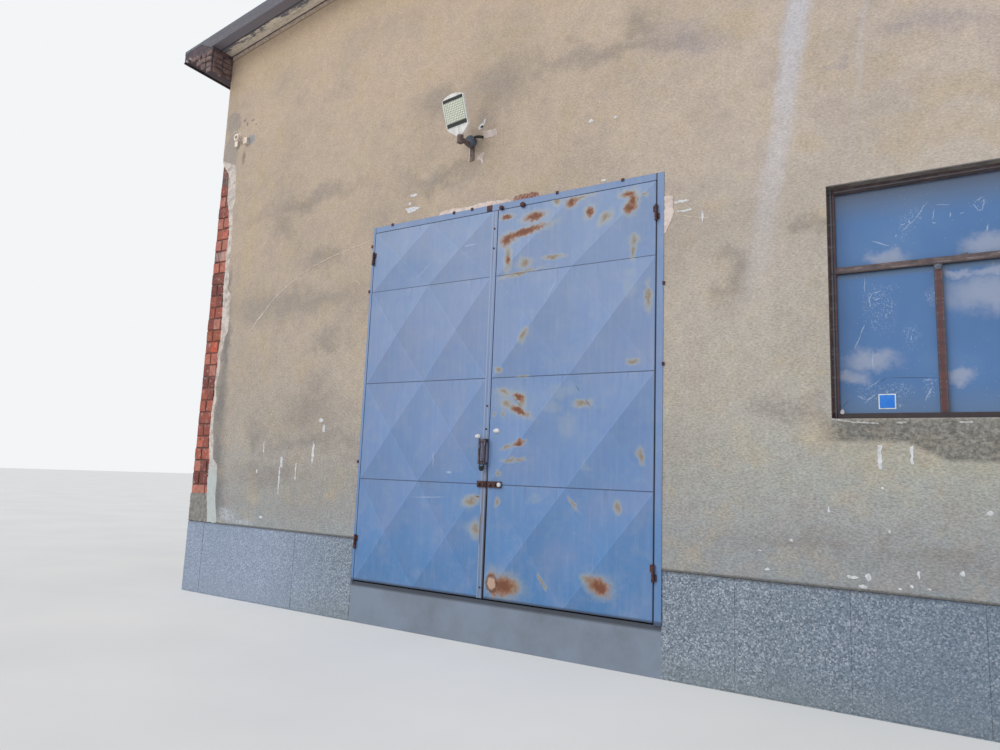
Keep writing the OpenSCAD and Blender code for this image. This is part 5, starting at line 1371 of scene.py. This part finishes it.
# %% Dabs of white filler on the leaves
def filler_dab(name, place, radius):
    clear_choice()
    bpy.ops.mesh.primitive_ico_sphere_add(subdivisions=3, radius=radius, location=place)
    lump = bpy.context.object
    lump.name = name
    edit_all()
    bpy.ops.transform.resize(value=(1.3, 0.4, 0.8))
    bpy.ops.transform.vertex_random(offset=radius * 0.12, seed=4)
    bpy.ops.object.mode_set(mode="OBJECT")
    bpy.ops.object.shade_smooth()
    return lump


settle(filler_dab("left_filler_dab", (-2.179, -8.010, 1.892), 0.025), white_paint, "left_leaf")
settle(filler_dab("right_filler_dab", (-1.975, -8.008, 1.942), 0.027), white_paint,
       "right_leaf")

# %% [markdown]
# The lamp head is a flat casting. Its light field has rows of small domes on a plate between two black
# seals, thin rails on both sides, a ridge down its neck and cooling fins behind. All of it is built upright
# at the origin and then turned into the head's place with one matrix, so the sizes stay plain. The plate
# with its domes and seals stands for the frame's plain lens block.

# %% Light field of the lamp
HEAD_PLACE = Matrix.Translation((-2.41, -8.217, 4.881)) @ Matrix.Rotation(math.radians(-7.9), 4, "Z") \
    @ Matrix.Rotation(math.radians(19.8), 4, "X")
SHELL_FACE, SHELL_BACK, PLATE_FACE, DOME_TOP, DOME_RADIUS = -0.014, 0.014, -0.0165, -0.0218, 0.0078
COLUMNS, ROWS = 11, 9
FIELD_LOW, FIELD_HIGH, HALF_FIELD = 0.098, 0.372, 0.1305


def into_head(piece):
    """Apply a part's own place, and then move its mesh into the lamp head's frame."""
    take(piece)
    bpy.ops.object.transform_apply(location=True, rotation=True, scale=True)
    piece.matrix_world = HEAD_PLACE
    return piece


def led_domes():
    clear_choice()
    bpy.ops.mesh.primitive_uv_sphere_add(segments=10, ring_count=6, radius=DOME_RADIUS)
    dome = bpy.context.object
    edit_all()
    bpy.ops.mesh.bisect(plane_co=(0, 0, 0), plane_no=(0, 1, 0), clear_outer=True, use_fill=True)
    bpy.ops.mesh.select_all(action="SELECT")
    bpy.ops.transform.resize(value=(1.0, (PLATE_FACE - DOME_TOP) / DOME_RADIUS, 1.0))
    bpy.ops.object.mode_set(mode="OBJECT")
    domes = [copied(dome, (-0.11 + 0.022 * column, PLATE_FACE, 0.150 + 0.0214 * row))
             for column in range(COLUMNS) for row in range(ROWS)]
    bpy.data.objects.remove(dome)
    return joined("lamp_led_domes", domes)


plate = bevelled_block("lamp_led_plate", (-HALF_FIELD, PLATE_FACE, FIELD_LOW),
                       (HALF_FIELD, SHELL_FACE - 0.0001, FIELD_HIGH), 0.0008, 1)
settle(into_head(plate), led_plate)
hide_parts("lamp_panel")
settle(into_head(led_domes()), led_domes_plastic)
seals = [bevelled_block("seal", (-HALF_FIELD, DOME_TOP, low), (HALF_FIELD, SHELL_FACE, high), 0.0015)
         for low, high in ((FIELD_LOW + 0.001, FIELD_LOW + 0.037), (FIELD_HIGH - 0.029, FIELD_HIGH - 0.001))]
settle(into_head(joined("lamp_seals", seals)), black_rubber)

# %% Rails, ridge and cooling fins of the lamp
RAIL_LOW, RAIL_HIGH, FINS = FIELD_LOW - 0.01, FIELD_HIGH - 0.002, 13
rails = [bevelled_block("rail", (x, -0.0195, RAIL_LOW), (x + 0.011, SHELL_FACE, RAIL_HIGH), 0.002)
         for x in (-0.1435, 0.1325)]
ridge = bevelled_block("ridge", (-0.006, SHELL_FACE - 0.007, 0.022), (0.006, SHELL_FACE, 0.094), 0.0025)
fins = [bevelled_block("fin", (x - 0.002, SHELL_BACK, 0.11), (x + 0.002, SHELL_BACK + 0.022, 0.36), 0.0008,
                       1) for x in [-0.12 + 0.02 * k for k in range(FINS)]]
settle(into_head(joined("lamp_rails_and_fins", rails + [ridge] + fins)), powder_coat)

# %% [markdown]
# A round painted joint box hides the arm's end at the wall, and a short bent pipe goes into the wall
# beside it. By the corner, a plastic collar lies behind the cable holder.

# %% Joint box and conduit of the lamp, collar of the cable holder
box = bolt_head("lamp_joint_box", (-2.41, -8.011, 4.895), 0.060, 0.050, 24)
settle(box, joint_paint)
drops = [bevelled_block("drop", (x - 0.011, -8.055, z), (x + 0.011, -8.03, z + 0.014), 0.004)
         for x, z in ((-2.452, 4.932), (-2.415, 4.948))]
settle(joined("plaster_on_joint_box", drops), white_paint)


def bent_pipe(name, points, radius):
    """A short pipe through some points: a smooth Bezier curve with a round section, made a mesh."""
    clear_choice()
    curve = bpy.data.curves.new(name, "CURVE")
    curve.dimensions, curve.bevel_depth, curve.bevel_resolution = "3D", radius, 3
    curve.use_fill_caps = True
    spline = curve.splines.new("BEZIER")
    spline.bezier_points.add(len(points) - 1)
    for point, place in zip(spline.bezier_points, points):
        point.co = place
        point.handle_left_type = point.handle_right_type = "AUTO"
    pipe = bpy.data.objects.new(name, curve)
    bpy.context.scene.collection.objects.link(pipe)
    take(pipe)
    bpy.ops.object.convert(target="MESH")
    return bpy.context.object


conduit = bent_pipe("lamp_conduit_stub",
                    [(-2.37, -8.04, 4.925), (-2.33, -8.04, 4.93), (-2.295, -8.022, 4.93),
                     (-2.28, -7.995, 4.93)], 0.014)
settle(conduit, black_rubber)
collar = bolt_head("cable_holder_collar", (-6.18, -8.0, 5.805), 0.066, 0.007, 28)
settle(collar, aged_plastic)

# %% [markdown]
# The light is that of a dull bright day: an even pale sky, and a very soft lamp from the upper left that
# lets the creases of the gates show. The two together light the gable so that a colour comes out about as
# it was written. The sky is white to the camera, to reflections and through glass, and gives the object
# less light than that, so that the pale background costs no contrast.

# %% Sky, lamp and floor
def sky():
    world = bpy.data.worlds.new("pale_sky")
    open_nodes(world)
    path = add("LightPath")
    shown = add("Math", links={0: (path, "Is Camera Ray"), 1: (path, "Is Glossy Ray")}, operation="MAXIMUM")
    shown = add("Math", links={0: shown, 1: (path, "Is Transmission Ray")}, operation="MAXIMUM")
    lighting = add("Background", {"Color": linear("#f4f7ff"), "Strength": 0.5})
    backdrop = add("Background", {"Color": linear("#f3f5f7"), "Strength": 1.0})
    both = add("MixShader", links={0: shown, 1: lighting, 2: backdrop})
    add("OutputWorld", links={0: both})
    bpy.context.scene.world = world


def soft_lamp():
    data = bpy.data.lights.new("soft_upper_left_lamp", "SUN")
    data.energy, data.angle = 2.1, math.radians(55)
    data.color = (1.0, 0.985, 0.96)
    lamp = bpy.data.objects.new("soft_upper_left_lamp", data)
    lamp.rotation_mode = "QUATERNION"
    lamp.rotation_quaternion = Vector((0.5, 0.72, -0.72)).to_track_quat("-Z", "Y")
    bpy.context.scene.collection.objects.link(lamp)


def pale_floor():
    clear_choice()
    bpy.ops.mesh.primitive_plane_add(size=240, location=(0, 0, -0.001))
    floor = bpy.context.object
    floor.name = "pale_floor"
    finish, place, _ = new_finish("pale_studio_floor")
    soft = add("TexNoise", {"Scale": 0.6, "Detail": 3.0}, {0: place})
    tone = add("ValToRGB", links={0: soft}, stops=[(0.3, "#dfe0e0"), (0.7, "#e6e6e5")])
    shader = add("BsdfPrincipled", {"Roughness": 0.9}, {"Base Color": tone})
    add("OutputMaterial", links={0: shader})
    floor.data.materials.append(finish)


sky()
soft_lamp()
pale_floor()
bpy.context.scene.view_settings.view_transform = "Standard"
print("light is set")
